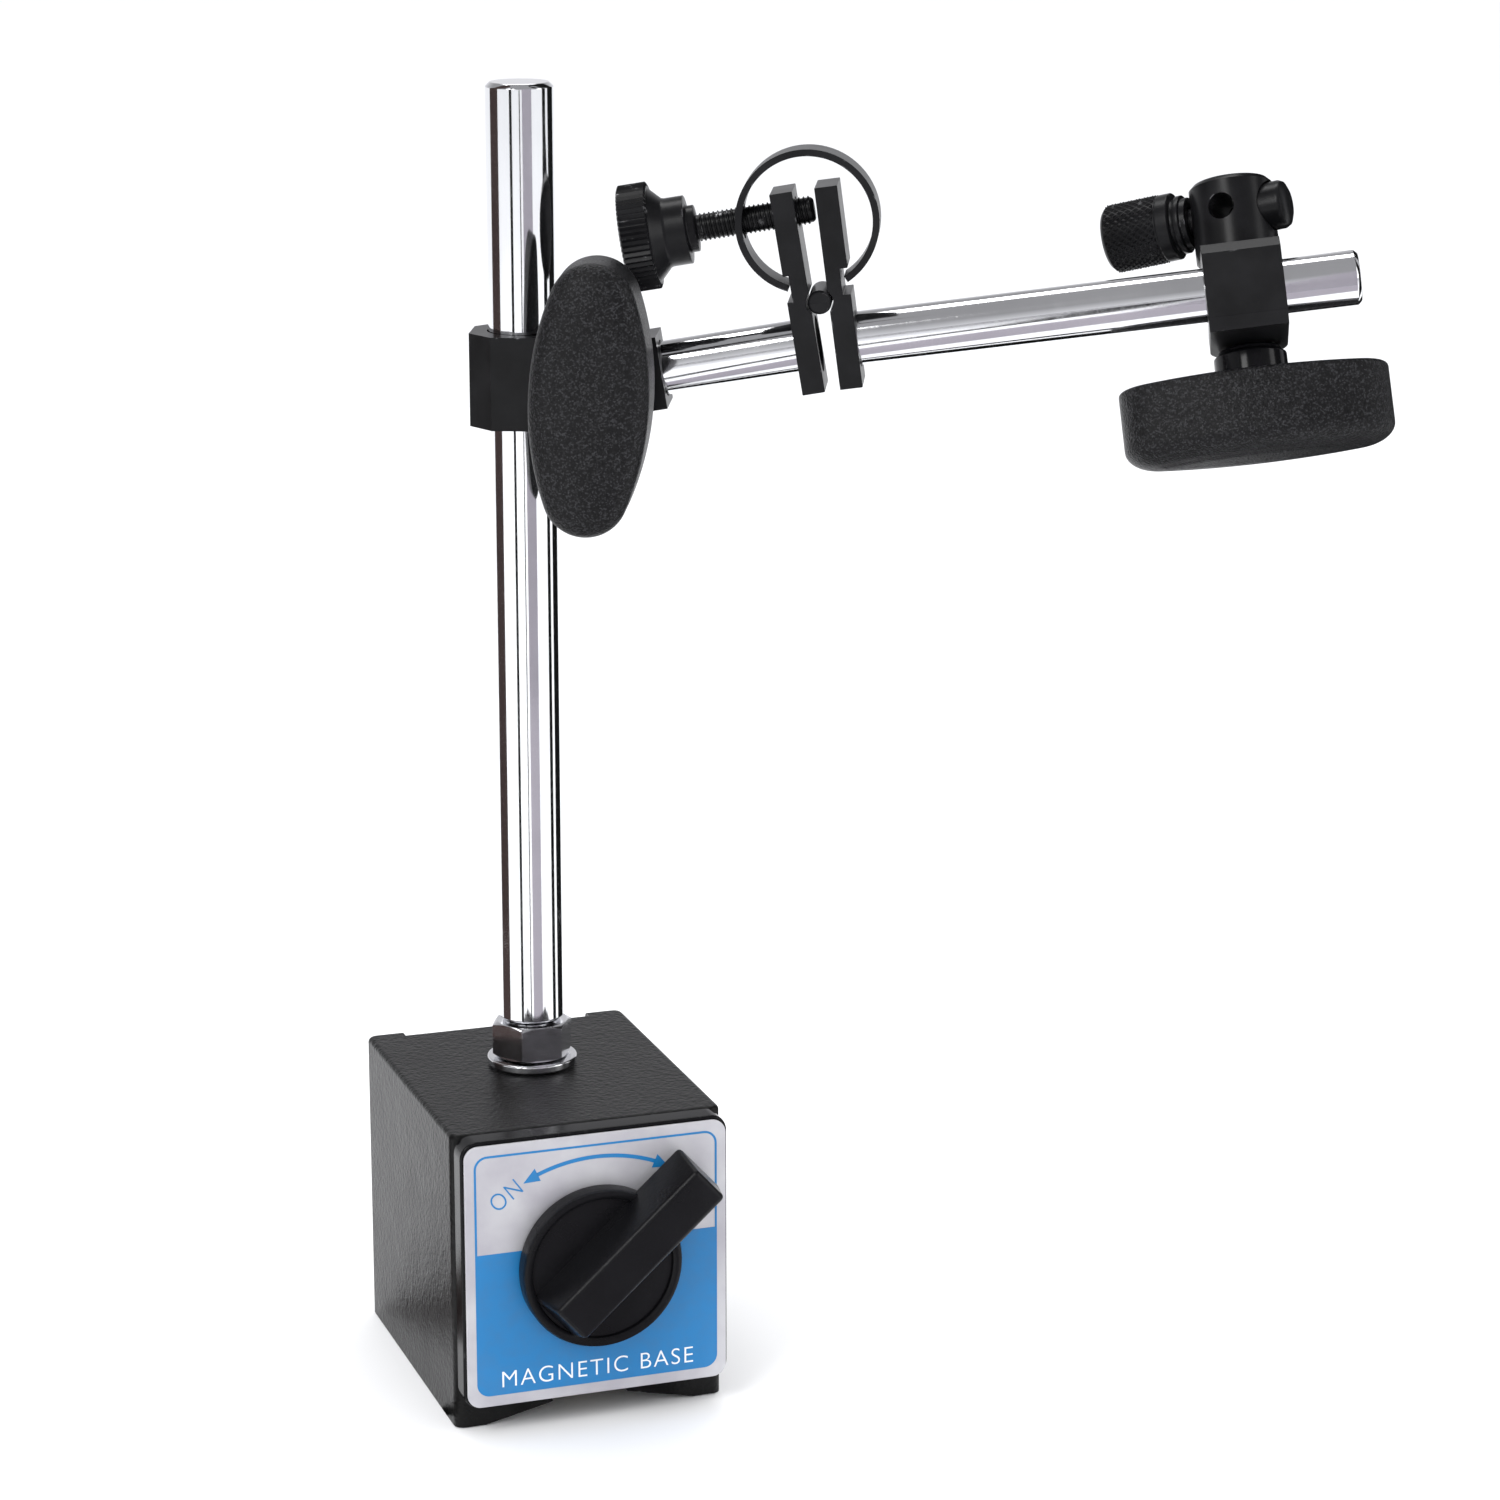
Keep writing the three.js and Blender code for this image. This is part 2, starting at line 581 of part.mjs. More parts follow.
function turret() {
  const r = TURRET.diameter / 2;
  const seat = ROD_STRAP.half + GAP;
  const stem = BOLT_DIAMETER / 2;
  const body = turned([
    [0, stemEnd], [stem - 0.6, stemEnd], [stem, stemEnd + 0.6], [stem, seat],
    [r - 0.4, seat], [r, seat + 0.4],
    [r, TURRET.top - 0.7], [r - 0.7, TURRET.top], [0, TURRET.top],
  ], 32);
  return cut(
    body,
    rodX(DRAW_BAR.diameter / 2 + GAP, -4.6, 20).translate(0, 0, DRAW_BAR.height),
    rodX(DRAW_BAR.thread / 2 + 0.4, -20, 0, 24).translate(0, 0, DRAW_BAR.height),
    rodY(TURRET.hole / 2, -20, 20, 24).translate(0, 0, DRAW_BAR.height));
}

// The bar that the thumb nut draws in; the stem to be held passes through its cross hole.
function drawBar() {
  const r = DRAW_BAR.diameter / 2;
  const end = DRAW_BAR.end;
  const thread = DRAW_BAR.thread / 2;
  const bar = turned([
    [0, -19.6], [thread - 0.5, -19.6], [thread, -19.1], [thread, -2.6], [r, -2.6],
    [r, end - 1.4], [r - 0.5, end - 0.5], [r - 1.6, end], [0, end],
  ], 24).rotateY(Math.PI / 2);
  return cut(bar, rodY(TURRET.hole / 2 + 0.1, -20, 20, 24)).translate(0, 0, DRAW_BAR.height);
}

const thumbNut = () => {
  const bore = DRAW_BAR.thread / 2 + GAP;
  return turned([
    [0, -23.2], [5.4, -23.2], [6.2, -22.4], [6.2, -12.8], [6, -12.6], [6, -10.6], [4.7, -10.4],
    [4.7, -9.7], [5.2, -9.6], [5.2, -8.8], [4.6, -8.6], [4.6, -7.7],
    [bore, -7.7], [bore, -21.6], [0, -21.6],
  ], 24).rotateY(Math.PI / 2).translate(0, 0, DRAW_BAR.height);
};

// ---------------------------------------------------------------- assembly

const stand = new THREE.Group();
stand.add(
  piece('left_pole_block', poleBlock(-1), BLACK_PAINT),
  piece('right_pole_block', poleBlock(1), BLACK_PAINT),
  piece('upper_spacer', spacer(ROTOR_HEIGHT + ROTOR_BORE / 2 + GAP, BASE_HEIGHT), BRASS),
  piece('lower_spacer', spacer(SLOT_ROOF, ROTOR_HEIGHT - ROTOR_BORE / 2 - GAP), BRASS),
  piece('front_cover', frontCover(), GLOSS_BLACK),
  piece('label_plate', labelPlate(), LABEL_FACE),
  piece('rear_cover', rearCover(), BLACK_PAINT),
  piece('rear_screw_1', rearScrew(-REAR_SCREW.x, REAR_SCREW.low), STEEL),
  piece('rear_screw_2', rearScrew(REAR_SCREW.x, REAR_SCREW.high), STEEL),
);

const switchFrame = frameAt(0, 0, ROTOR_HEIGHT);
switchFrame.name = 'switch_axis';
const lever = piece('switch_knob', switchKnob(), BLACK_NYLON);
lever.rotation.y = rad(-SWITCH_REST);
switchFrame.add(
  lever,
  piece('switch_shaft', switchShaft(), STEEL),
  piece('rotor_magnet', rotorMagnet(), MAGNET_GREY),
  piece('rotor_shoe_upper', rotorShoe(1), STEEL),
  piece('rotor_shoe_lower', rotorShoe(-1), STEEL),
  piece('rotor_pivot', rearPivot(), BRASS),
);

const columnFrame = frameAt(COLUMN_PLACE.x, COLUMN_PLACE.y, 0);
columnFrame.name = 'column_axis';
columnFrame.add(
  piece('column_rod', columnRod(), CHROME),
  piece('column_nut', columnNut(), CHROME),
  piece('column_washer', columnWasher(), CHROME),
);

const clampFrame = frameAt(COLUMN_PLACE.x, COLUMN_PLACE.y, JOINT_HEIGHT);
clampFrame.name = 'clamp_axis';
clampFrame.rotation.z = rad(ARM_YAW);

// Puts a knob with its collar and insert in front of a leg face; z runs outwards from the leg.
function knobSet(number, seat) {
  const set = new THREE.Group();
  const turning = frameAt(0, 0, seat);
  turning.add(
    piece(`knob_${number}`, handKnob(), BLACK_NYLON),
    piece(`knob_insert_${number}`, knobInsert(), BRASS),
    piece(`knob_collar_${number}`, knobCollar(), GLOSS_BLACK),
  );
  set.add(turning);
  return set;
}

const boltFrame = frameAt(BOLT_REACH, 0, 0);
boltFrame.name = 'bolt_axis';
const frontKnob = knobSet(1, knobSeat);
frontKnob.rotation.x = Math.PI / 2;
frontKnob.children[0].rotation.z = rad(90 - KNOB.lean);
boltFrame.add(
  piece('clamp_bolt', clampBolt(), STEEL),
  piece('bolt_washer', boltWasher(), STEEL),
  frontKnob,
);
const columnStrap = piece('column_strap', boltedStrap(STRAP, STRAP.height, BOLT_REACH), BLACK_OXIDE);
clampFrame.add(columnStrap, boltFrame);

const armFrame = frameAt(BOLT_REACH, 0, 0);
armFrame.name = 'arm_axis';
armFrame.rotation.y = rad(-ARM_TILT);
const fineFrame = frameAt(0, 0, FINE_AXIS);
fineFrame.name = 'fine_axis';
armFrame.add(
  piece('arm_eye', armEye(), BLACK_OXIDE),
  piece('inner_rod', armRod(5.6, innerFace - 0.5), CHROME),
  piece('inner_plate', innerPlate(), BLACK_OXIDE),
  piece('roller_pin', rodY(ROLLER.diameter / 2, -PLATE.width / 2, PLATE.width / 2, 32)
    .translate(ROLLER.reach, 0, ROLLER.height), STEEL),
  piece('spring_strip', springStrip(), BLACK_OXIDE),
  piece('fine_screw', fineScrew(), BLACK_OXIDE),
  fineFrame,
);

const outerFrame = frameAt(ROLLER.reach, 0, ROLLER.height);
outerFrame.name = 'roller_axis';
outerFrame.rotation.y = rad(WEDGE);
outerFrame.add(
  piece('outer_plate', outerPlate(), BLACK_OXIDE),
  piece('outer_rod', armRod(PLATE_TO_ROLLER + 0.5, ROD_END).translate(0, 0, -ROLLER.height), CHROME),
);

const dialFrame = frameAt(CLAMP_REACH, 0, -ROLLER.height);
dialFrame.name = 'dial_clamp_axis';
dialFrame.rotation.x = rad(-CLAMP_ROLL);
const stemFrame = frameAt(0, STEM_REACH, 0);
stemFrame.name = 'stem_axis';
const lowerKnob = knobSet(2, ROD_STRAP.half + 2 * GAP + COLLAR.length);
lowerKnob.rotation.x = Math.PI;
const turretFrame = new THREE.Group();
turretFrame.name = 'turret_axis';
turretFrame.rotation.z = rad(TURRET.yaw);
turretFrame.add(
  piece('turret', turret(), BLACK_OXIDE),
  piece('draw_bar', drawBar(), BLACK_OXIDE),
  piece('thumb_nut', thumbNut(), BLACK_OXIDE),
);
stemFrame.add(turretFrame, lowerKnob);
dialFrame.add(piece('rod_strap', rodStrap(), BLACK_OXIDE), stemFrame);
outerFrame.add(dialFrame);
armFrame.add(outerFrame);
clampFrame.add(armFrame);
stand.add(switchFrame, columnFrame, clampFrame);

// The part's origin is the middle of the whole stand's footprint, on the plane of its feet.
const part = new THREE.Group();
part.add(stand);
const bounds = new THREE.Box3().setFromObject(part, true);
stand.position.set(-(bounds.min.x + bounds.max.x) / 2, -(bounds.min.y + bounds.max.y) / 2, 0);

export default part;
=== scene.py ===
# Looks of a switchable magnetic base with its column, hinged arm, fine adjustment and dial clamp.
# Pieces are shaped in millimetres in their own working frame, then put in place in metres.

import json
import math

import bmesh
import bpy
from mathutils import Matrix, Vector


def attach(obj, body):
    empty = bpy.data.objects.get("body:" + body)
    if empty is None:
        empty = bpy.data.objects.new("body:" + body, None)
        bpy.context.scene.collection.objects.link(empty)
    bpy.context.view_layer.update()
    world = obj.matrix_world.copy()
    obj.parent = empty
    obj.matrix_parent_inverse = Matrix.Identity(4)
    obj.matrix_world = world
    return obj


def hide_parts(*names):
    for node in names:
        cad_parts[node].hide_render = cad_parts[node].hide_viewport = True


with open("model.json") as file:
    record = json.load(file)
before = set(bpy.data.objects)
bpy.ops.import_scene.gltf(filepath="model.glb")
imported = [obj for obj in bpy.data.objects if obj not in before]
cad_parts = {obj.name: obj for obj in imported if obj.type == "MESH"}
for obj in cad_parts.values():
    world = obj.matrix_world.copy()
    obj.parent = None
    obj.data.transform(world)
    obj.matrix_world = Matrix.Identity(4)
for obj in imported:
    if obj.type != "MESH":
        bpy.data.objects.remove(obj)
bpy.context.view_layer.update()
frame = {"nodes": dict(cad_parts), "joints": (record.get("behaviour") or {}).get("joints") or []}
joints = {joint["name"]: joint for joint in frame["joints"]}

# ------------------------------------------------------------------ sizes, millimetres and degrees

ARM_YAW = -23
ARM_TILT = 9.6
WEDGE = 2
CLAMP_ROLL = 22.5
TURRET_YAW = -18
LEVER_LEAN = 48
KNOB_LEAN = 87.3

BASE_HALF_WIDTH = 25
BASE_HALF_LENGTH = 30
BASE_HEIGHT = 55
ROTOR_HEIGHT = 30.5
COVER_FACE = -34.3
LABEL_FACE = -35.1
KNOB_BACK = -35.6

ROLLER_REACH = 40.4
ROLLER_HEIGHT = 7.9
FINE_HEIGHT = 23.4
STEM_REACH = 11
CLAMP_REACH = 73.3

COLUMN_BACK = 4.5  # from the middle of the base
NUT_FLATS = 13  # across the flats
BOLT_HOLE = 4.25
ROD_HOLE = 5
ROLLER_SEAT = 2.4
PLATE_HALF_WIDTH = 6
STRAP_REACH = 14.2
BAR_HEIGHT = 16.8  # cross bar above the turret's foot
THREAD_PITCH = 0.8
PRINT_HALF_WIDTH = 22.4
PRINT_LOW, PRINT_HIGH = 7.6, 52.6
PRINT_CORNER = 2.4
BLUE_TOP = 34.3
REAR_SCREWS = ((-14.4, 14), (14.4, 47))  # across and up


# ------------------------------------------------------------------ places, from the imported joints


def pivot(joint):
    return Matrix.Translation(Vector(joints[joint]["pos_m"]))


def turn(degrees, axis):
    return Matrix.Rotation(math.radians(degrees), 4, axis)


def along(x, y, z):
    return Matrix.Translation(Vector((x, y, z)) / 1000)


switch_centre = pivot("switch_turn")
base_place = switch_centre @ along(0, 0, -ROTOR_HEIGHT)
lever_place = switch_centre @ turn(LEVER_LEAN, "Y")
column_place = pivot("column_turn")
bolt_place = pivot("arm_tilt") @ turn(ARM_YAW, "Z")
clamp_place = bolt_place @ along(-STRAP_REACH, 0, 0)
arm_place = bolt_place @ turn(-ARM_TILT, "Y")
outer_place = pivot("fine_tilt") @ turn(ARM_YAW, "Z") @ turn(WEDGE - ARM_TILT, "Y")
dial_clamp_place = outer_place @ along(CLAMP_REACH, 0, -ROLLER_HEIGHT) @ turn(-CLAMP_ROLL, "X")
stem_place = dial_clamp_place @ along(0, STEM_REACH, 0)
turret_place = stem_place @ turn(TURRET_YAW, "Z")
front_knob_place = bolt_place @ turn(90, "X") @ along(0, 0, 14.5) @ turn(KNOB_LEAN, "Z")
lower_knob_place = stem_place @ turn(180, "X") @ along(0, 0, 13.25)
lying = turn(90, "Y")  # a turned piece's own Z laid along X


# ------------------------------------------------------------------ shaping


def tidy(shape):
    bmesh.ops.remove_doubles(shape, verts=shape.verts, dist=0.0005)
    bmesh.ops.dissolve_degenerate(shape, dist=0.0005, edges=shape.edges)
    bmesh.ops.recalc_face_normals(shape, faces=shape.faces)
    return shape


def turned(outline, steps=96, ring=False):
    """A piece turned on a lathe, from the (radius, height) corners of its half section.
    A ring has a hole right through: its last corner joins its first."""
    shape = bmesh.new()
    corners = [shape.verts.new((radius, 0, height)) for radius, height in outline]
    following = corners[1:] + (corners[:1] if ring else [])
    sides = [shape.edges.new(pair) for pair in zip(corners, following)]
    bmesh.ops.spin(
        shape, geom=corners + sides, cent=(0, 0, 0), axis=(0, 0, 1),
        angle=2 * math.pi, steps=steps, use_merge=True,
    )
    return tidy(shape)


def turned_ring(outline, steps=96):
    return turned(outline, steps, ring=True)


def sawn(outline, low, high):
    """A flat outline given a thickness up its own Z."""
    shape = bmesh.new()
    face = shape.faces.new([shape.verts.new((x, y, low)) for x, y in outline])
    grown = bmesh.ops.extrude_face_region(shape, geom=[face], use_keep_orig=True)
    raised = [part for part in grown["geom"] if isinstance(part, bmesh.types.BMVert)]
    bmesh.ops.translate(shape, verts=raised, vec=(0, 0, high - low))
    return tidy(shape)


def upright(outline, near, far):
    """A flat outline standing up in Z, its thickness from near to far along Y."""
    shape = sawn(outline, -far, -near)
    shape.transform(turn(90, "X"))
    return shape


def block(x, y, z):
    shape = bmesh.new()
    bmesh.ops.create_cube(shape, size=1)
    bmesh.ops.scale(shape, verts=shape.verts, vec=(x[1] - x[0], y[1] - y[0], z[1] - z[0]))
    middle = ((x[0] + x[1]) / 2, (y[0] + y[1]) / 2, (z[0] + z[1]) / 2)
    bmesh.ops.translate(shape, verts=shape.verts, vec=middle)
    return shape


def drill(radius, low, high, axis="Z", at=(0, 0, 0), sides=64):
    """A round bar for boring a hole or adding a boss, from low to high along an axis."""
    shape = bmesh.new()
    bmesh.ops.create_cone(
        shape, cap_ends=True, segments=sides, radius1=radius, radius2=radius, depth=high - low
    )
    bmesh.ops.translate(shape, verts=shape.verts, vec=(0, 0, (low + high) / 2))
    shape.transform({"X": turn(90, "Y"), "Y": turn(-90, "X"), "Z": Matrix.Identity(4)}[axis])
    bmesh.ops.translate(shape, verts=shape.verts, vec=at)
    return shape


def rounded_plate(half_width, low, high, near, far, corner, rim):
    """A standing plate with rounded corners and an eased front edge; its front faces -Y."""
    shape = block((-half_width, half_width), (near, far), (low, high))
    corners = [edge for edge in shape.edges if abs((edge.verts[0].co - edge.verts[1].co).y) > 0.01]
    bmesh.ops.bevel(
        shape, geom=corners, offset=corner, segments=8, profile=0.5, affect="EDGES", material=-1
    )
    front = [
        edge for edge in shape.edges
        if all(abs(vert.co.y - near) < 0.001 for vert in edge.verts) and not edge.is_boundary
    ]
    bmesh.ops.bevel(
        shape, geom=front, offset=rim, segments=3, profile=0.5, affect="EDGES", material=-1
    )
    return shape


def cut_or_join(shape, tools, operation):
    for tool in tools:
        held = []
        for solid in (shape, tool):
            mesh = bpy.data.meshes.new("bench")
            solid.to_mesh(mesh)
            held.append(bpy.data.objects.new("bench", mesh))
            bpy.context.collection.objects.link(held[-1])
        step = held[0].modifiers.new("Cut", "BOOLEAN")
        step.operation, step.solver, step.object = operation, "EXACT", held[1]
        result = held[0].evaluated_get(bpy.context.evaluated_depsgraph_get())
        shape.clear()
        shape.from_mesh(result.to_mesh())
        result.to_mesh_clear()
        for spare in held:
            mesh = spare.data
            bpy.data.objects.remove(spare)
            bpy.data.meshes.remove(mesh)
        tool.free()
    return tidy(shape)


def carve(shape, *tools):
    return cut_or_join(shape, tools, "DIFFERENCE")


def weld(shape, *tools):
    return cut_or_join(shape, tools, "UNION")


def keep_inside(shape, *tools):
    return cut_or_join(shape, tools, "INTERSECT")


def ease_edges(shape, width, segments=3, least=28):
    """Breaks every edge that turns by more than the least angle."""
    sharp = [
        edge for edge in shape.edges
        if edge.is_manifold and edge.calc_face_angle() > math.radians(least)
    ]
    bmesh.ops.bevel(
        shape, geom=sharp, offset=width, segments=segments, profile=0.5, affect="EDGES",
        clamp_overlap=True, material=-1,
    )
    return shape


def fit(name, shape, place, body, finishes, stands_for=(), crisp=35):
    """Puts a shape in place as a piece of the stand, with its finishes and the body it rides on."""
    bmesh.ops.recalc_face_normals(shape, faces=shape.faces)
    shape.transform(place @ Matrix.Scale(0.001, 4))
    mesh = bpy.data.meshes.new(name)
    shape.to_mesh(mesh)
    shape.free()
    mesh.shade_smooth()
    mesh.set_sharp_from_angle(angle=math.radians(crisp))
    piece = bpy.data.objects.new(name, mesh)
    bpy.context.collection.objects.link(piece)
    for finish in finishes:
        mesh.materials.append(finish)
    even = piece.modifiers.new("Even shading", "WEIGHTED_NORMAL")
    even.keep_sharp = True
    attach(piece, body)
    if stands_for:
        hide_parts(*stands_for)
    return piece


# ------------------------------------------------------------------ finishes


def new_material(name):
    material = bpy.data.materials.new(name)
    material.use_nodes = True
    material.node_tree.nodes.clear()
    return material


def black_coating(name, dark, light, roughness, grain, height, worn):
    """Enamel or oxide on machined iron: a grained coat with uneven gloss and bright worn edges.
    grain is the width of the grain in millimetres, height its relief, worn how far edges show."""
    material = new_material(name)
    nodes, links = material.node_tree.nodes, material.node_tree.links

    place = nodes.new("ShaderNodeTexCoord")
    place.label = "Place on the stand"
    place.location = (-1500, 0)

    grain_frame = nodes.new("NodeFrame")
    grain_frame.label = "Grain of the coat"
    stipple = nodes.new("ShaderNodeTexNoise")
    stipple.label = "Stipple"
    stipple.location = (-1150, -500)
    stipple.parent = grain_frame
    stipple.inputs["Scale"].default_value = 1000 / grain
    stipple.inputs["Detail"].default_value = 3
    stipple.inputs["Roughness"].default_value = 0.6
    pores = nodes.new("ShaderNodeTexVoronoi")
    pores.label = "Pinholes and nibs"
    pores.location = (-1150, -760)
    pores.parent = grain_frame
    pores.feature = "SMOOTH_F1"
    pores.inputs["Scale"].default_value = 620 / grain
    pores.inputs["Smoothness"].default_value = 0.6
    both = nodes.new("ShaderNodeMath")
    both.label = "Stipple with nibs"
    both.location = (-900, -600)
    both.parent = grain_frame
    both.operation = "MULTIPLY_ADD"
    both.inputs[1].default_value = 0.45
    relief = nodes.new("ShaderNodeBump")
    relief.label = "Relief of the coat"
    relief.location = (-660, -560)
    relief.parent = grain_frame
    relief.inputs["Strength"].default_value = 0.7
    relief.inputs["Distance"].default_value = height / 1000

    gloss_frame = nodes.new("NodeFrame")
    gloss_frame.label = "Uneven gloss"
    handling = nodes.new("ShaderNodeTexNoise")
    handling.label = "Handling marks"
    handling.location = (-1150, -160)
    handling.parent = gloss_frame
    handling.inputs["Scale"].default_value = 130
    handling.inputs["Detail"].default_value = 4
    gloss = nodes.new("ShaderNodeMapRange")
    gloss.label = "Duller and shinier patches"
    gloss.location = (-900, -160)
    gloss.parent = gloss_frame
    gloss.inputs["From Min"].default_value = 0.3
    gloss.inputs["From Max"].default_value = 0.7
    gloss.inputs["To Min"].default_value = roughness * 0.93
    gloss.inputs["To Max"].default_value = roughness * 1.07

    tone_frame = nodes.new("NodeFrame")
    tone_frame.label = "Colour of the coat"
    tone = nodes.new("ShaderNodeValToRGB")
    tone.label = "Deep to lighter black"
    tone.location = (-900, 160)
    tone.parent = tone_frame
    tone.color_ramp.elements[0].position = 0.36
    tone.color_ramp.elements[0].color = (*dark, 1)
    tone.color_ramp.elements[1].position = 0.66
    tone.color_ramp.elements[1].color = (*light, 1)

    edge_frame = nodes.new("NodeFrame")
    edge_frame.label = "Edges rubbed bright"
    rounded = nodes.new("ShaderNodeBevel")
    rounded.label = "Surface with softened edges"
    rounded.location = (-1400, 560)
    rounded.parent = edge_frame
    rounded.samples = 4
    rounded.inputs["Radius"].default_value = 0.0004
    surface = nodes.new("ShaderNodeNewGeometry")
    surface.label = "Surface as it is"
    surface.location = (-1400, 420)
    surface.parent = edge_frame
    facing = nodes.new("ShaderNodeVectorMath")
    facing.label = "How far they part"
    facing.location = (-1180, 500)
    facing.parent = edge_frame
    facing.operation = "DOT_PRODUCT"
    edge = nodes.new("ShaderNodeMapRange")
    edge.label = "Edge band"
    edge.location = (-980, 500)
    edge.parent = edge_frame
    edge.inputs["From Min"].default_value = 0.985
    edge.inputs["From Max"].default_value = 0.9
    rub = nodes.new("ShaderNodeTexNoise")
    rub.label = "Where it was rubbed"
    rub.location = (-980, 760)
    rub.parent = edge_frame
    rub.inputs["Scale"].default_value = 420
    rub.inputs["Detail"].default_value = 5
    broken = nodes.new("ShaderNodeMapRange")
    broken.label = "Broken into chips"
    broken.location = (-760, 760)
    broken.parent = edge_frame
    broken.inputs["From Min"].default_value = 0.66 - 0.26 * worn
    broken.inputs["From Max"].default_value = 0.74 - 0.2 * worn
    bare = nodes.new("ShaderNodeMath")
    bare.label = "Bare edge"
    bare.location = (-540, 600)
    bare.parent = edge_frame
    bare.operation = "MULTIPLY"
    coat_or_bare = nodes.new("ShaderNodeMix")
    coat_or_bare.label = "Coat or bare metal"
    coat_or_bare.location = (-320, 300)
    coat_or_bare.parent = edge_frame
    coat_or_bare.data_type = "RGBA"
    coat_or_bare.inputs["B"].default_value = (0.3, 0.3, 0.31, 1)

    shader = nodes.new("ShaderNodeBsdfPrincipled")
    shader.label = "Coated iron"
    shader.location = (0, 0)
    shader.inputs["IOR"].default_value = 1.5
    shader.inputs["Specular IOR Level"].default_value = 0.17
    out = nodes.new("ShaderNodeOutputMaterial")
    out.label = "Surface"
    out.location = (320, 0)

    links.new(place.outputs["Object"], stipple.inputs["Vector"])
    links.new(place.outputs["Object"], pores.inputs["Vector"])
    links.new(place.outputs["Object"], handling.inputs["Vector"])
    links.new(place.outputs["Object"], rub.inputs["Vector"])
    links.new(pores.outputs["Distance"], both.inputs[0])
    links.new(stipple.outputs["Fac"], both.inputs[2])
    links.new(both.outputs["Value"], relief.inputs["Height"])
    links.new(handling.outputs["Fac"], gloss.inputs["Value"])
    links.new(handling.outputs["Fac"], tone.inputs["Fac"])
    links.new(rounded.outputs["Normal"], facing.inputs[0])
    links.new(surface.outputs["Normal"], facing.inputs[1])
    links.new(facing.outputs["Value"], edge.inputs["Value"])
    links.new(rub.outputs["Fac"], broken.inputs["Value"])
    links.new(edge.outputs["Result"], bare.inputs[0])
    links.new(broken.outputs["Result"], bare.inputs[1])
    links.new(bare.outputs["Value"], coat_or_bare.inputs["Factor"])
    links.new(tone.outputs["Color"], coat_or_bare.inputs["A"])
    links.new(coat_or_bare.outputs["Result"], shader.inputs["Base Color"])
    links.new(bare.outputs["Value"], shader.inputs["Metallic"])
    links.new(gloss.outputs["Result"], shader.inputs["Roughness"])
    links.new(relief.outputs["Normal"], shader.inputs["Normal"])
    links.new(shader.outputs["BSDF"], out.inputs["Surface"])
    return material


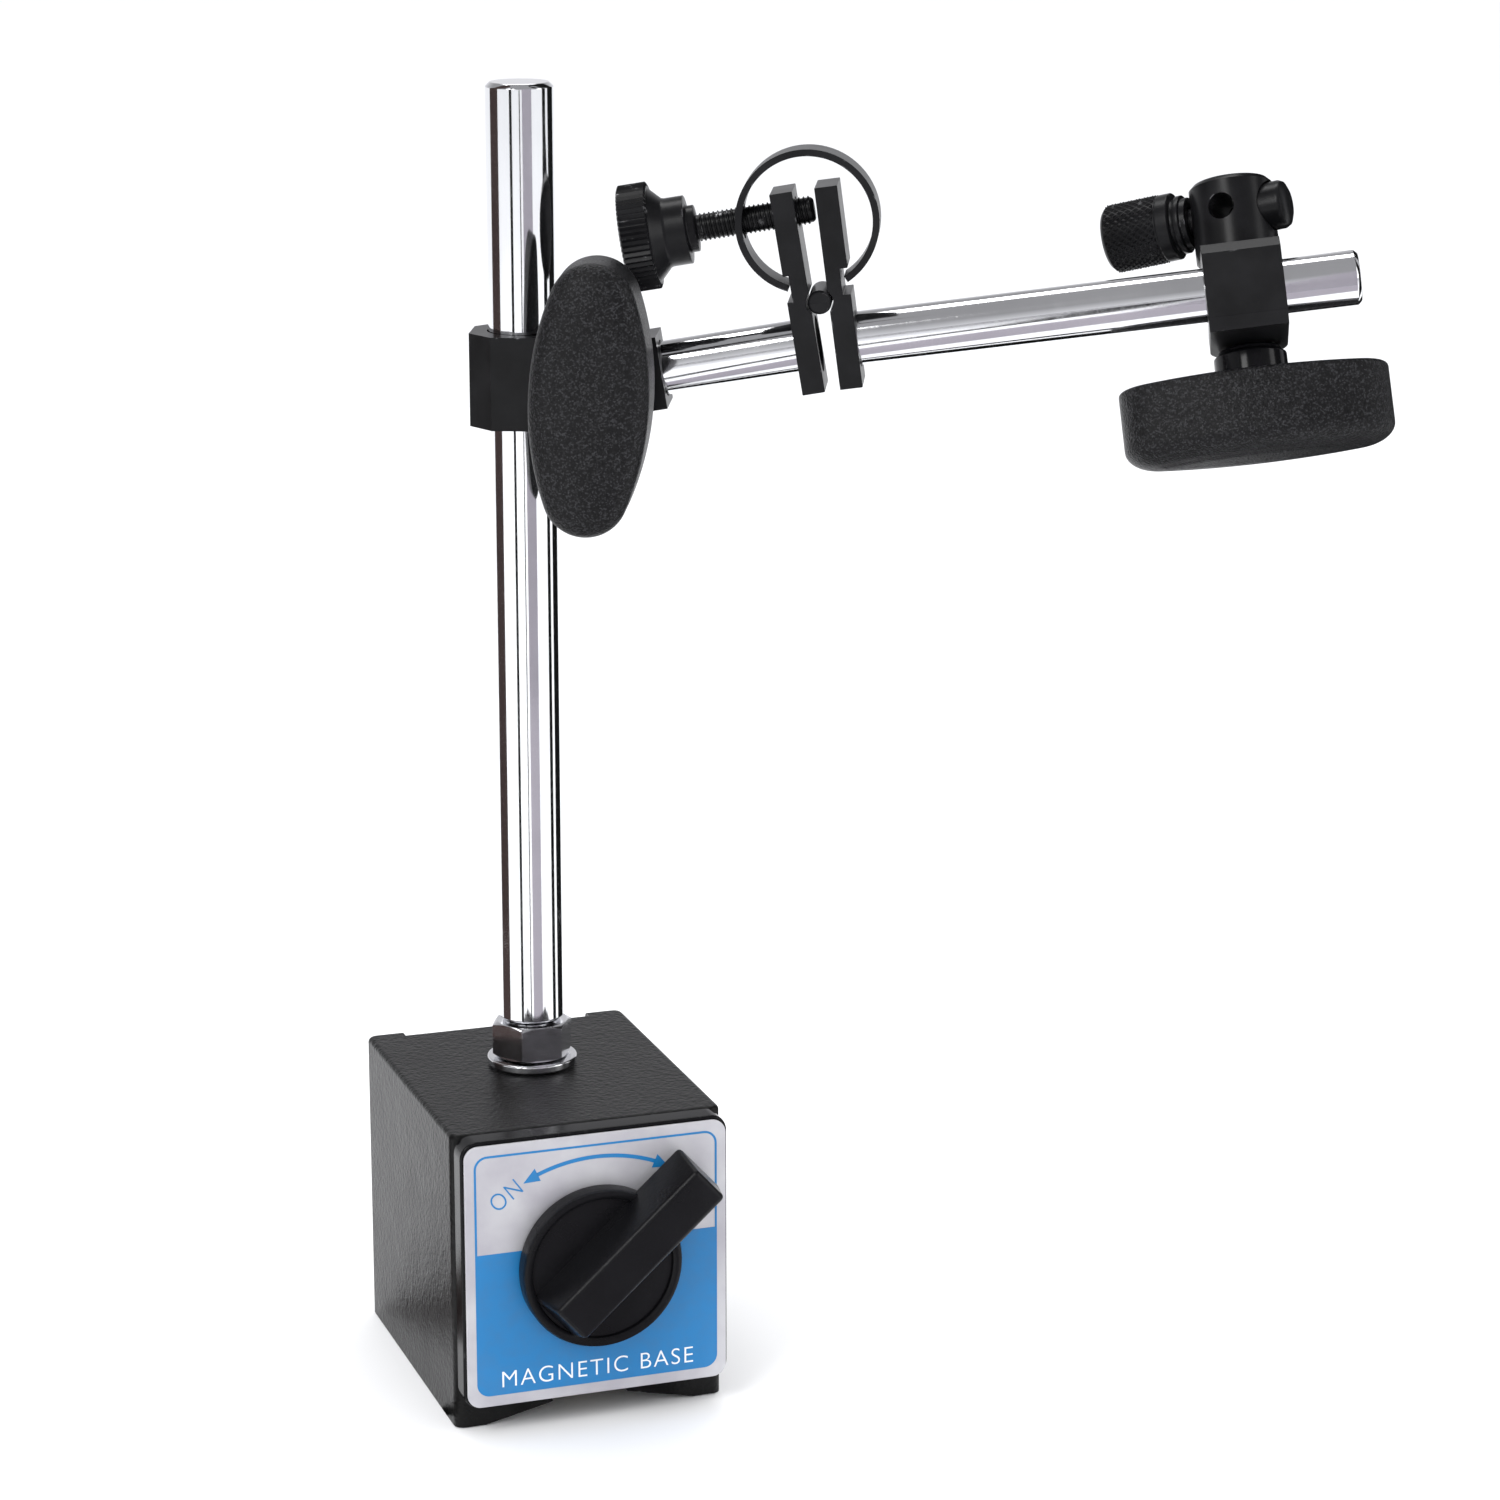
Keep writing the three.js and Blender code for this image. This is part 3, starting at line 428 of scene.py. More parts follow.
def moulded_black(name, shade, roughness, spark, height, glints):
    """Moulded nylon with the spark-eroded skin of its mould. spark is the width of a pit in
    millimetres, height its depth, glints how many pits get a painted glint, a lighter colour
    standing in for light the pits would catch, from 0 to 1."""
    material = new_material(name)
    nodes, links = material.node_tree.nodes, material.node_tree.links

    place = nodes.new("ShaderNodeTexCoord")
    place.label = "Place on the stand"
    place.location = (-1300, 0)

    skin_frame = nodes.new("NodeFrame")
    skin_frame.label = "Spark-eroded skin"
    pits = nodes.new("ShaderNodeTexVoronoi")
    pits.label = "Pits"
    pits.location = (-1000, -420)
    pits.parent = skin_frame
    pits.feature = "SMOOTH_F1"
    pits.inputs["Scale"].default_value = 1000 / spark
    pits.inputs["Smoothness"].default_value = 0.5
    pits.inputs["Randomness"].default_value = 1
    fuzz = nodes.new("ShaderNodeTexNoise")
    fuzz.label = "Finer fuzz between pits"
    fuzz.location = (-1000, -700)
    fuzz.parent = skin_frame
    fuzz.inputs["Scale"].default_value = 1700 / spark
    fuzz.inputs["Detail"].default_value = 2
    skin = nodes.new("ShaderNodeMath")
    skin.label = "Pits with fuzz"
    skin.location = (-760, -520)
    skin.parent = skin_frame
    skin.operation = "MULTIPLY_ADD"
    skin.inputs[1].default_value = 0.5
    relief = nodes.new("ShaderNodeBump")
    relief.label = "Relief of the skin"
    relief.location = (-520, -480)
    relief.parent = skin_frame
    relief.inputs["Strength"].default_value = 0.8
    relief.inputs["Distance"].default_value = height / 1000

    # Painted glints: a few cells of the skin get a lighter base colour that stands in for light
    # caught by the pits.
    painted_glint_frame = nodes.new("NodeFrame")
    painted_glint_frame.label = "Glints"
    painted_glint_grains = nodes.new("ShaderNodeTexVoronoi")
    painted_glint_grains.label = "One grain each"
    painted_glint_grains.location = (-1000, 320)
    painted_glint_grains.parent = painted_glint_frame
    painted_glint_grains.inputs["Scale"].default_value = 2200 / spark
    pick = nodes.new("ShaderNodeSeparateColor")
    pick.label = "A number for each grain"
    pick.location = (-800, 320)
    pick.parent = painted_glint_frame
    few = nodes.new("ShaderNodeMapRange")
    few.label = "Only a few"
    few.location = (-600, 320)
    few.parent = painted_glint_frame
    few.inputs["From Min"].default_value = 1 - 0.12 * glints
    few.inputs["From Max"].default_value = 1.05
    painted_glint_mix = nodes.new("ShaderNodeMix")
    painted_glint_mix.label = "Paler where it glints"
    painted_glint_mix.location = (-240, 240)
    painted_glint_mix.parent = painted_glint_frame
    painted_glint_mix.data_type = "RGBA"
    painted_glint_mix.inputs["B"].default_value = (0.032, 0.032, 0.035, 1)

    tone_frame = nodes.new("NodeFrame")
    tone_frame.label = "Flow of the plastic"
    flow = nodes.new("ShaderNodeTexNoise")
    flow.label = "Slow flow marks"
    flow.location = (-1000, -60)
    flow.parent = tone_frame
    flow.inputs["Scale"].default_value = 90
    flow.inputs["Detail"].default_value = 3
    tone = nodes.new("ShaderNodeValToRGB")
    tone.label = "Colour of the plastic"
    tone.location = (-760, 60)
    tone.parent = tone_frame
    tone.color_ramp.elements[0].position = 0.35
    tone.color_ramp.elements[0].color = (*(part * 0.82 for part in shade), 1)
    tone.color_ramp.elements[1].position = 0.68
    tone.color_ramp.elements[1].color = (*(part * 1.18 for part in shade), 1)
    gloss = nodes.new("ShaderNodeMapRange")
    gloss.label = "Uneven gloss"
    gloss.location = (-760, -200)
    gloss.parent = tone_frame
    gloss.inputs["From Min"].default_value = 0.3
    gloss.inputs["From Max"].default_value = 0.7
    gloss.inputs["To Min"].default_value = roughness * 0.88
    gloss.inputs["To Max"].default_value = roughness * 1.12

    shader = nodes.new("ShaderNodeBsdfPrincipled")
    shader.label = "Black nylon"
    shader.location = (60, 0)
    shader.inputs["IOR"].default_value = 1.53
    shader.inputs["Specular IOR Level"].default_value = 0.16
    out = nodes.new("ShaderNodeOutputMaterial")
    out.label = "Surface"
    out.location = (360, 0)

    links.new(place.outputs["Object"], pits.inputs["Vector"])
    links.new(place.outputs["Object"], fuzz.inputs["Vector"])
    links.new(place.outputs["Object"], painted_glint_grains.inputs["Vector"])
    links.new(place.outputs["Object"], flow.inputs["Vector"])
    links.new(pits.outputs["Distance"], skin.inputs[0])
    links.new(fuzz.outputs["Fac"], skin.inputs[2])
    links.new(skin.outputs["Value"], relief.inputs["Height"])
    links.new(painted_glint_grains.outputs["Color"], pick.inputs["Color"])
    links.new(pick.outputs["Red"], few.inputs["Value"])
    links.new(few.outputs["Result"], painted_glint_mix.inputs["Factor"])
    links.new(flow.outputs["Fac"], tone.inputs["Fac"])
    links.new(flow.outputs["Fac"], gloss.inputs["Value"])
    links.new(tone.outputs["Color"], painted_glint_mix.inputs["A"])
    links.new(painted_glint_mix.outputs["Result"], shader.inputs["Base Color"])
    links.new(gloss.outputs["Result"], shader.inputs["Roughness"])
    links.new(relief.outputs["Normal"], shader.inputs["Normal"])
    links.new(shader.outputs["BSDF"], out.inputs["Surface"])
    return material


def bright_metal(name, tint, roughness, lay, stretch, height):
    """Plated, ground or turned metal with fine tool lines. lay turns the pattern to the piece, in
    degrees, stretch is the line pattern's scale along each of its own axes."""
    material = new_material(name)
    nodes, links = material.node_tree.nodes, material.node_tree.links

    place = nodes.new("ShaderNodeTexCoord")
    place.label = "Place on the stand"
    place.location = (-1500, 0)

    line_frame = nodes.new("NodeFrame")
    line_frame.label = "Tool lines"
    lined_up = nodes.new("ShaderNodeMapping")
    lined_up.label = "Turned to the piece"
    lined_up.location = (-1280, -200)
    lined_up.parent = line_frame
    lined_up.vector_type = "TEXTURE"
    lined_up.inputs["Rotation"].default_value = [math.radians(angle) for angle in lay]
    drawn = nodes.new("ShaderNodeMapping")
    drawn.label = "Drawn out into lines"
    drawn.location = (-1080, -200)
    drawn.parent = line_frame
    drawn.inputs["Scale"].default_value = stretch
    scratches = nodes.new("ShaderNodeTexNoise")
    scratches.label = "Fine lines"
    scratches.location = (-860, -260)
    scratches.parent = line_frame
    scratches.inputs["Scale"].default_value = 1
    scratches.inputs["Detail"].default_value = 4
    scratches.inputs["Roughness"].default_value = 0.7
    relief = nodes.new("ShaderNodeBump")
    relief.label = "Depth of the lines"
    relief.location = (-600, -320)
    relief.parent = line_frame
    relief.inputs["Strength"].default_value = 0.35
    relief.inputs["Distance"].default_value = height / 1000

    haze_frame = nodes.new("NodeFrame")
    haze_frame.label = "Haze and finger marks"
    haze = nodes.new("ShaderNodeTexNoise")
    haze.label = "Cloudy haze"
    haze.location = (-860, 120)
    haze.parent = haze_frame
    haze.inputs["Scale"].default_value = 75
    haze.inputs["Detail"].default_value = 5
    haze.inputs["Distortion"].default_value = 0.6
    dulled = nodes.new("ShaderNodeMath")
    dulled.label = "Haze with lines"
    dulled.location = (-620, 60)
    dulled.parent = haze_frame
    dulled.operation = "MULTIPLY"
    gloss = nodes.new("ShaderNodeMapRange")
    gloss.label = "How rough it leaves the metal"
    gloss.location = (-400, 20)
    gloss.parent = haze_frame
    gloss.inputs["From Min"].default_value = 0.1
    gloss.inputs["From Max"].default_value = 0.45
    gloss.inputs["To Min"].default_value = roughness * 0.6
    gloss.inputs["To Max"].default_value = roughness * 1.7
    tone = nodes.new("ShaderNodeValToRGB")
    tone.label = "Slight change of tint"
    tone.location = (-460, 320)
    tone.parent = haze_frame
    tone.color_ramp.elements[0].position = 0.3
    tone.color_ramp.elements[0].color = (*(part * 0.93 for part in tint), 1)
    tone.color_ramp.elements[1].position = 0.7
    tone.color_ramp.elements[1].color = (*tint, 1)

    shader = nodes.new("ShaderNodeBsdfPrincipled")
    shader.label = "Bright metal"
    shader.location = (0, 0)
    shader.inputs["Metallic"].default_value = 1
    out = nodes.new("ShaderNodeOutputMaterial")
    out.label = "Surface"
    out.location = (300, 0)

    links.new(place.outputs["Object"], lined_up.inputs["Vector"])
    links.new(lined_up.outputs["Vector"], drawn.inputs["Vector"])
    links.new(drawn.outputs["Vector"], scratches.inputs["Vector"])
    links.new(place.outputs["Object"], haze.inputs["Vector"])
    links.new(scratches.outputs["Fac"], relief.inputs["Height"])
    links.new(haze.outputs["Fac"], dulled.inputs[0])
    links.new(scratches.outputs["Fac"], dulled.inputs[1])
    links.new(dulled.outputs["Value"], gloss.inputs["Value"])
    links.new(haze.outputs["Fac"], tone.inputs["Fac"])
    links.new(tone.outputs["Color"], shader.inputs["Base Color"])
    links.new(gloss.outputs["Result"], shader.inputs["Roughness"])
    links.new(relief.outputs["Normal"], shader.inputs["Normal"])
    links.new(shader.outputs["BSDF"], out.inputs["Surface"])
    return material


def printed_ink(name, colour, roughness):
    """Screen-printed ink: a thin even film with a slight mesh and a few thin spots."""
    material = new_material(name)
    nodes, links = material.node_tree.nodes, material.node_tree.links

    place = nodes.new("ShaderNodeTexCoord")
    place.label = "Place on the label"
    place.location = (-1100, 0)
    film_frame = nodes.new("NodeFrame")
    film_frame.label = "Thickness of the film"
    mottle = nodes.new("ShaderNodeTexNoise")
    mottle.label = "Mottle"
    mottle.location = (-880, 60)
    mottle.parent = film_frame
    mottle.inputs["Scale"].default_value = 380
    mottle.inputs["Detail"].default_value = 4
    tone = nodes.new("ShaderNodeValToRGB")
    tone.label = "Thin to full ink"
    tone.location = (-640, 120)
    tone.parent = film_frame
    tone.color_ramp.elements[0].position = 0.25
    tone.color_ramp.elements[0].color = (*(part * 0.88 + 0.01 for part in colour), 1)
    tone.color_ramp.elements[1].position = 0.6
    tone.color_ramp.elements[1].color = (*colour, 1)
    mesh_frame = nodes.new("NodeFrame")
    mesh_frame.label = "Mark of the screen"
    screen = nodes.new("ShaderNodeTexNoise")
    screen.label = "Fine mesh"
    screen.location = (-880, -260)
    screen.parent = mesh_frame
    screen.inputs["Scale"].default_value = 5200
    relief = nodes.new("ShaderNodeBump")
    relief.label = "Relief of the film"
    relief.location = (-640, -260)
    relief.parent = mesh_frame
    relief.inputs["Strength"].default_value = 0.3
    relief.inputs["Distance"].default_value = 0.000006
    shader = nodes.new("ShaderNodeBsdfPrincipled")
    shader.label = "Ink"
    shader.location = (-240, 0)
    shader.inputs["Roughness"].default_value = roughness
    shader.inputs["Coat Weight"].default_value = 0.25
    shader.inputs["Coat Roughness"].default_value = 0.12
    out = nodes.new("ShaderNodeOutputMaterial")
    out.label = "Surface"
    out.location = (60, 0)

    links.new(place.outputs["Object"], mottle.inputs["Vector"])
    links.new(place.outputs["Object"], screen.inputs["Vector"])
    links.new(mottle.outputs["Fac"], tone.inputs["Fac"])
    links.new(tone.outputs["Color"], shader.inputs["Base Color"])
    links.new(screen.outputs["Fac"], relief.inputs["Height"])
    links.new(relief.outputs["Normal"], shader.inputs["Normal"])
    links.new(shader.outputs["BSDF"], out.inputs["Surface"])
    return material


def silver_label_stock():
    """Satin silver foil of the label: pale, finely sanded, lightly clouded."""
    material = new_material("silver_label_stock")
    nodes, links = material.node_tree.nodes, material.node_tree.links

    place = nodes.new("ShaderNodeTexCoord")
    place.label = "Place on the label"
    place.location = (-1200, 0)
    sand_frame = nodes.new("NodeFrame")
    sand_frame.label = "Sanded grain"
    drawn = nodes.new("ShaderNodeMapping")
    drawn.label = "Sanded across the label"
    drawn.location = (-980, -240)
    drawn.parent = sand_frame
    drawn.inputs["Scale"].default_value = (600, 600, 4200)
    grain = nodes.new("ShaderNodeTexNoise")
    grain.label = "Sanding lines"
    grain.location = (-780, -240)
    grain.parent = sand_frame
    grain.inputs["Scale"].default_value = 1
    grain.inputs["Detail"].default_value = 3
    relief = nodes.new("ShaderNodeBump")
    relief.label = "Relief of the sanding"
    relief.location = (-540, -240)
    relief.parent = sand_frame
    relief.inputs["Strength"].default_value = 0.3
    relief.inputs["Distance"].default_value = 0.00001
    cloud_frame = nodes.new("NodeFrame")
    cloud_frame.label = "Clouding"
    cloud = nodes.new("ShaderNodeTexNoise")
    cloud.label = "Slow clouds"
    cloud.location = (-780, 140)
    cloud.parent = cloud_frame
    cloud.inputs["Scale"].default_value = 120
    cloud.inputs["Detail"].default_value = 5
    tone = nodes.new("ShaderNodeValToRGB")
    tone.label = "Silver to lilac silver"
    tone.location = (-540, 160)
    tone.parent = cloud_frame
    tone.color_ramp.elements[0].position = 0.32
    tone.color_ramp.elements[0].color = (0.47, 0.46, 0.5, 1)
    tone.color_ramp.elements[1].position = 0.68
    tone.color_ramp.elements[1].color = (0.58, 0.58, 0.6, 1)
    shader = nodes.new("ShaderNodeBsdfPrincipled")
    shader.label = "Silver foil"
    shader.location = (-180, 0)
    shader.inputs["Metallic"].default_value = 0.35
    shader.inputs["Roughness"].default_value = 0.38
    out = nodes.new("ShaderNodeOutputMaterial")
    out.label = "Surface"
    out.location = (120, 0)

    links.new(place.outputs["Object"], drawn.inputs["Vector"])
    links.new(drawn.outputs["Vector"], grain.inputs["Vector"])
    links.new(grain.outputs["Fac"], relief.inputs["Height"])
    links.new(place.outputs["Object"], cloud.inputs["Vector"])
    links.new(cloud.outputs["Fac"], tone.inputs["Fac"])
    links.new(tone.outputs["Color"], shader.inputs["Base Color"])
    links.new(relief.outputs["Normal"], shader.inputs["Normal"])
    links.new(shader.outputs["BSDF"], out.inputs["Surface"])
    return material


base_enamel = black_coating(
    "base_enamel", (0.003, 0.003, 0.003), (0.005, 0.005, 0.0052), 0.33, 0.8, 0.24, 0.12)
cover_enamel = black_coating(
    "cover_enamel", (0.003, 0.003, 0.0035), (0.005, 0.005, 0.0055), 0.2, 0.8, 0.006, 0.1)
black_oxide = black_coating(
    "black_oxide", (0.004, 0.004, 0.0045), (0.008, 0.008, 0.009), 0.3, 0.3, 0.008, 0.12)
collar_enamel = black_coating(
    "collar_enamel", (0.004, 0.004, 0.005), (0.007, 0.007, 0.008), 0.14, 0.9, 0.003, 0.1)
spring_steel = black_coating(
    "spring_steel", (0.005, 0.005, 0.006), (0.01, 0.01, 0.011), 0.3, 0.5, 0.006, 0.15)
# The last number sets the painted glints: lighter specks in the colour standing in for light caught
# by the pits; the switch gets none.
knob_nylon = moulded_black("knob_nylon", (0.005, 0.005, 0.0055), 0.36, 0.6, 0.24, 3.5)
switch_nylon = moulded_black("switch_nylon", (0.005, 0.005, 0.006), 0.3, 0.7, 0.03, 0)

CHROME_TINT = (0.86, 0.865, 0.885)
column_chrome = bright_metal(
    "column_chrome", CHROME_TINT, 0.07, (0, 0, 0), (60, 60, 2600), 0.0016)
arm_chrome = bright_metal(
    "arm_chrome", CHROME_TINT, 0.08, (0, -ARM_TILT, ARM_YAW), (2600, 60, 60), 0.0016)
nut_chrome = bright_metal("nut_chrome", CHROME_TINT, 0.13, (0, 0, 0), (300, 300, 1200), 0.0004)
ground_steel = bright_metal("ground_steel", (0.5, 0.5, 0.51), 0.3, (0, 0, 0), (60, 1800, 60), 0.006)
bolt_steel = bright_metal(
    "bolt_steel", (0.56, 0.56, 0.57), 0.24, (0, 0, ARM_YAW), (900, 120, 900), 0.0008)
turned_brass = bright_metal(
    "turned_brass", (0.72, 0.5, 0.2), 0.26, (0, 0, 0), (500, 1600, 500), 0.004)
magnet_ferrite = black_coating(
    "magnet_ferrite", (0.03, 0.03, 0.034), (0.055, 0.055, 0.06), 0.62, 0.6, 0.04, 0.2)
silver_foil = silver_label_stock()
blue_ink = printed_ink("blue_ink", (0.002, 0.17, 0.43), 0.5)
white_ink = printed_ink("white_ink", (0.82, 0.84, 0.86), 0.45)


# ------------------------------------------------------------------ base block


def pole_section():
    """The block's end view: two feet, sloping flanks, the groove and the seam between the poles."""
    right = [(2.8, 25), (2.8, 8), (7, 8), (7, 2.8), (19.5, 0), (BASE_HALF_WIDTH, 0)]
    top = [(BASE_HALF_WIDTH, BASE_HEIGHT), (-BASE_HALF_WIDTH, BASE_HEIGHT)]
    return right + top + [(-x, z) for x, z in reversed(right)]


def base_block():
    shape = upright(pole_section(), -BASE_HALF_LENGTH, BASE_HALF_LENGTH)
    corners = [
        edge for edge in shape.edges
        if all(abs(abs(vert.co.x) - BASE_HALF_WIDTH) < 0.01 for vert in edge.verts)
        and abs((edge.verts[0].co - edge.verts[1].co).z) > 50
    ]
    bmesh.ops.bevel(
        shape, geom=corners, offset=1.8, segments=6, profile=0.5, affect="EDGES", material=-1
    )
    top = [
        edge for edge in shape.edges
        if all(abs(vert.co.z - BASE_HEIGHT) < 0.01 for vert in edge.verts)
    ]
    bmesh.ops.bevel(
        shape, geom=top, offset=0.9, segments=4, profile=0.5, affect="EDGES", material=-1
    )
    carve(
        shape,
        block((-18, 18), (27.4, 31), (-1, 56)),
        drill(14.5, -31, 31, "Y", (0, 0, ROTOR_HEIGHT)),
        drill(4.2, 46.6, 56, "Z", (0, COLUMN_BACK, 0)),
        *(drill(1.5, 22, 31, "Y", (x, 0, z), 24) for x, z in REAR_SCREWS),
    )
    ease_edges(shape, 0.3, 2, 40)
    for face in shape.faces:
        if face.normal.z < -0.99 and face.calc_center_median().z < 0.1:
            face.material_index = 1
    return shape


fit("base_block", base_block(), base_place, "base", [base_enamel, ground_steel],
    ["left_pole_block", "right_pole_block", "upper_spacer"])

cover = rounded_plate(24.6, 5.2, BASE_HEIGHT, COVER_FACE, COVER_FACE + 4, 3, 0.45)
carve(cover, drill(5.3, -40, -20, "Y", (0, 0, ROTOR_HEIGHT)))
fit("cover_plate", cover, base_place, "base", [cover_enamel], ["front_cover"])

foil = rounded_plate(24.1, 5.6, 54.4, LABEL_FACE, LABEL_FACE + 0.5, 2.5, 0.12)
carve(foil, drill(7, -40, -20, "Y", (0, 0, ROTOR_HEIGHT)))
fit("label_foil", foil, base_place, "base", [silver_foil], ["label_plate"])

# The rear cover with its two slotted cheese-head screws.
back_plate = rounded_plate(17, 10.5, 50.5, -28.7, -27.7, 2, 0.3)
back_plate.transform(turn(180, "Z"))
carve(
    back_plate,
    drill(3.3, 20, 40, "Y", (0, 0, ROTOR_HEIGHT)),
    *(drill(1.6, 20, 40, "Y", (x, 0, z), 24) for x, z in REAR_SCREWS),
)
fit("back_plate", back_plate, base_place, "base", [base_enamel], ["rear_cover"])


def cheese_head_screw(slot_angle):
    """Its head outwards along +Z, seated at zero."""
    shape = turned([(0, -6.5), (1.2, -6.5), (1.2, 0), (2.4, 0), (2.4, 0.8), (0, 0.8)], 40)
    slot = block((-3, 3), (-0.3, 0.3), (0.35, 2))
    slot.transform(turn(slot_angle, "Z"))
    carve(shape, slot)
    return ease_edges(shape, 0.1, 2)


for number, ((x, z), slot_angle) in enumerate(zip(REAR_SCREWS, (25, 70)), start=1):
    fit(f"cheese_head_{number}", cheese_head_screw(slot_angle),
        base_place @ along(x, 29, z) @ turn(-90, "X"), "base", [bolt_steel],
        [f"rear_screw_{number}"])


# ------------------------------------------------------------------ print on the label

INK = 0.04
BORDER = 0.4


def lettering(words, width, height):
    """Plain block capitals as a film drawn in X and Y, centred, one deep in Z."""
    text = bpy.data.curves.new("lettering", "FONT")
    text.body = words
    text.size = 1
    text.extrude = 0.5
    text.align_x = "CENTER"
    text.space_character = 1.14
    text.offset = -0.012
    holder = bpy.data.objects.new("lettering", text)
    bpy.context.collection.objects.link(holder)
    cut = holder.evaluated_get(bpy.context.evaluated_depsgraph_get())
    shape = bmesh.new()
    shape.from_mesh(cut.to_mesh())
    cut.to_mesh_clear()
    bpy.data.objects.remove(holder)
    bpy.data.curves.remove(text)
    tidy(shape)
    spread = [[vert.co[i] for vert in shape.verts] for i in range(3)]
    low, high = [min(values) for values in spread], [max(values) for values in spread]
    bmesh.ops.translate(
        shape, verts=shape.verts,
        vec=(-(low[0] + high[0]) / 2, -(low[1] + high[1]) / 2, -low[2]),
    )
    bmesh.ops.scale(
        shape, verts=shape.verts,
        vec=(width / (high[0] - low[0]), height / (high[1] - low[1]), 1 / (high[2] - low[2])),
    )
    return shape


def on_label(film, x, z, thickness, lean=0):
    """Lays a film drawn in X and Y, one deep in Z, on the label."""
    bmesh.ops.scale(film, verts=film.verts, vec=(1, 1, thickness))
    film.transform(turn(lean, "Z"))
    film.transform(turn(90, "X"))
    bmesh.ops.translate(film, verts=film.verts, vec=(x, LABEL_FACE, z))
    return film


blue_field = rounded_plate(
    PRINT_HALF_WIDTH, PRINT_LOW, PRINT_HIGH, LABEL_FACE - INK, LABEL_FACE, PRINT_CORNER, 0.01)
carve(
    blue_field,
    block((-30, 30), (-40, -30), (BLUE_TOP, 60)),
    drill(7.2, -40, -20, "Y", (0, 0, ROTOR_HEIGHT)),
)
fit("blue_field", blue_field, base_place, "base", [blue_ink], ())

blue_border = rounded_plate(
    PRINT_HALF_WIDTH, PRINT_LOW, PRINT_HIGH, LABEL_FACE - INK, LABEL_FACE, PRINT_CORNER, 0.01)
carve(
    blue_border,
    rounded_plate(
        PRINT_HALF_WIDTH - BORDER, PRINT_LOW + BORDER, PRINT_HIGH - BORDER,
        LABEL_FACE - 1, LABEL_FACE + 1, PRINT_CORNER - BORDER, 0.01),
    block((-30, 30), (-40, -30), (0, BLUE_TOP)),
)
fit("blue_border", blue_border, base_place, "base", [blue_ink], ())


def arc_arrow():
    """A shallow arc with a head at each end, for the way the switch turns."""
    radius, half_angle = 28.9, 22
    shape = bmesh.new()
    strip = [shape.verts.new((0, radius + side, 0)) for side in (-0.36, 0.36)]
    edge = shape.edges.new(strip)
    bmesh.ops.rotate(shape, verts=strip, cent=(0, 0, 0), matrix=turn(half_angle, "Z").to_3x3())
    bmesh.ops.spin(
        shape, geom=strip + [edge], cent=(0, 0, 0), axis=(0, 0, -1),
        angle=math.radians(2 * half_angle), steps=40,
    )
    bmesh.ops.remove_doubles(shape, verts=shape.verts, dist=0.001)
    for side in (-1, 1):
        head = [
            shape.verts.new((side * x, radius + y, 0))
            for x, y in ((2.9, -0.25), (0, 1.3), (-0.1, -1.3))
        ]
        shape.faces.new(head)
        bmesh.ops.rotate(
            shape, verts=head, cent=(0, 0, 0), matrix=turn(-side * half_angle, "Z").to_3x3())
    bmesh.ops.recalc_face_normals(shape, faces=shape.faces)
    for face in shape.faces:
        if face.normal.z < 0:
            face.normal_flip()
    bmesh.ops.solidify(shape, geom=list(shape.faces), thickness=1)
    bmesh.ops.translate(shape, verts=shape.verts, vec=(0, 0, 1))
    return shape


fit("turning_arrow", on_label(arc_arrow(), 0, 21.3, INK), base_place, "base",
    [blue_ink], ())
fit("on_lettering", on_label(lettering("ON", 5.9, 3.2), -16.7, 44.9, INK, 36), base_place, "base",
    [blue_ink], ())
fit("off_lettering", on_label(lettering("OFF", 8, 3.2), 16.4, 44.9, INK, -38), base_place, "base",
    [blue_ink], ())
fit("base_lettering", on_label(lettering("MAGNETIC BASE", 35.6, 3.0), 0, 10.5, 2 * INK), base_place,
    "base", [white_ink], ())


# ------------------------------------------------------------------ hand switch


def switch_lever():
    """A rimmed disc with a tapered bar across it; it points up its own Z and faces -Y."""
    disc = turned([
        (0, 0), (14.3, 0), (14.7, 0.4), (14.7, 2.9), (14.45, 3.45), (14.05, 3.6),
        (13.5, 3.6), (13.0, 3.3), (12.8, 2.75), (0, 2.75),
    ], 128)
    disc.transform(turn(90, "X"))
    bar = sawn([(-5.8, 1.8), (-3.8, 10.2), (3.8, 10.2), (5.8, 1.8)], -12.4, 24.6)
    for vert in bar.verts:  # its crown is shorter than its foot
        if vert.co.y > 9:
            vert.co.z += 1.6 if vert.co.z < 0 else -0.6
    bmesh.ops.scale(bar, verts=bar.verts, vec=(1, -1, 1))
    bmesh.ops.recalc_face_normals(bar, faces=bar.faces)
    ease_edges(bar, 0.85, 4)
    weld(disc, bar)
    bmesh.ops.translate(disc, verts=disc.verts, vec=(0, KNOB_BACK, 0))
    return carve(disc, drill(3.8, -43.5, -20, "Y"))


fit("switch_lever", switch_lever(), lever_place, "magnet_switch", [switch_nylon], ["switch_knob"])


# ------------------------------------------------------------------ column with its nut and washer

column = turned([
    (0, 46.9), (3.1, 46.9), (3.9, 47.7), (3.9, 64), (5.3, 64), (6, 64.7),
    (6, 233.7), (5.2, 234.5), (0, 234.5),
], 128)
ease_edges(column, 0.12, 2)
fit("chrome_column", column, column_place, "column", [column_chrome], ["column_rod"])

washer = turned_ring([(4.2, 55.3), (8.25, 55.3), (8.25, 56.8), (4.2, 56.8)], 96)
ease_edges(washer, 0.35, 4)
fit("chrome_washer", washer, column_place, "base", [nut_chrome], ["column_washer"])


def hexagon_corners(flats):
    return [
        (flats / math.sqrt(3) * math.cos(math.radians(60 * i)),
         flats / math.sqrt(3) * math.sin(math.radians(60 * i)))
        for i in range(6)
    ]


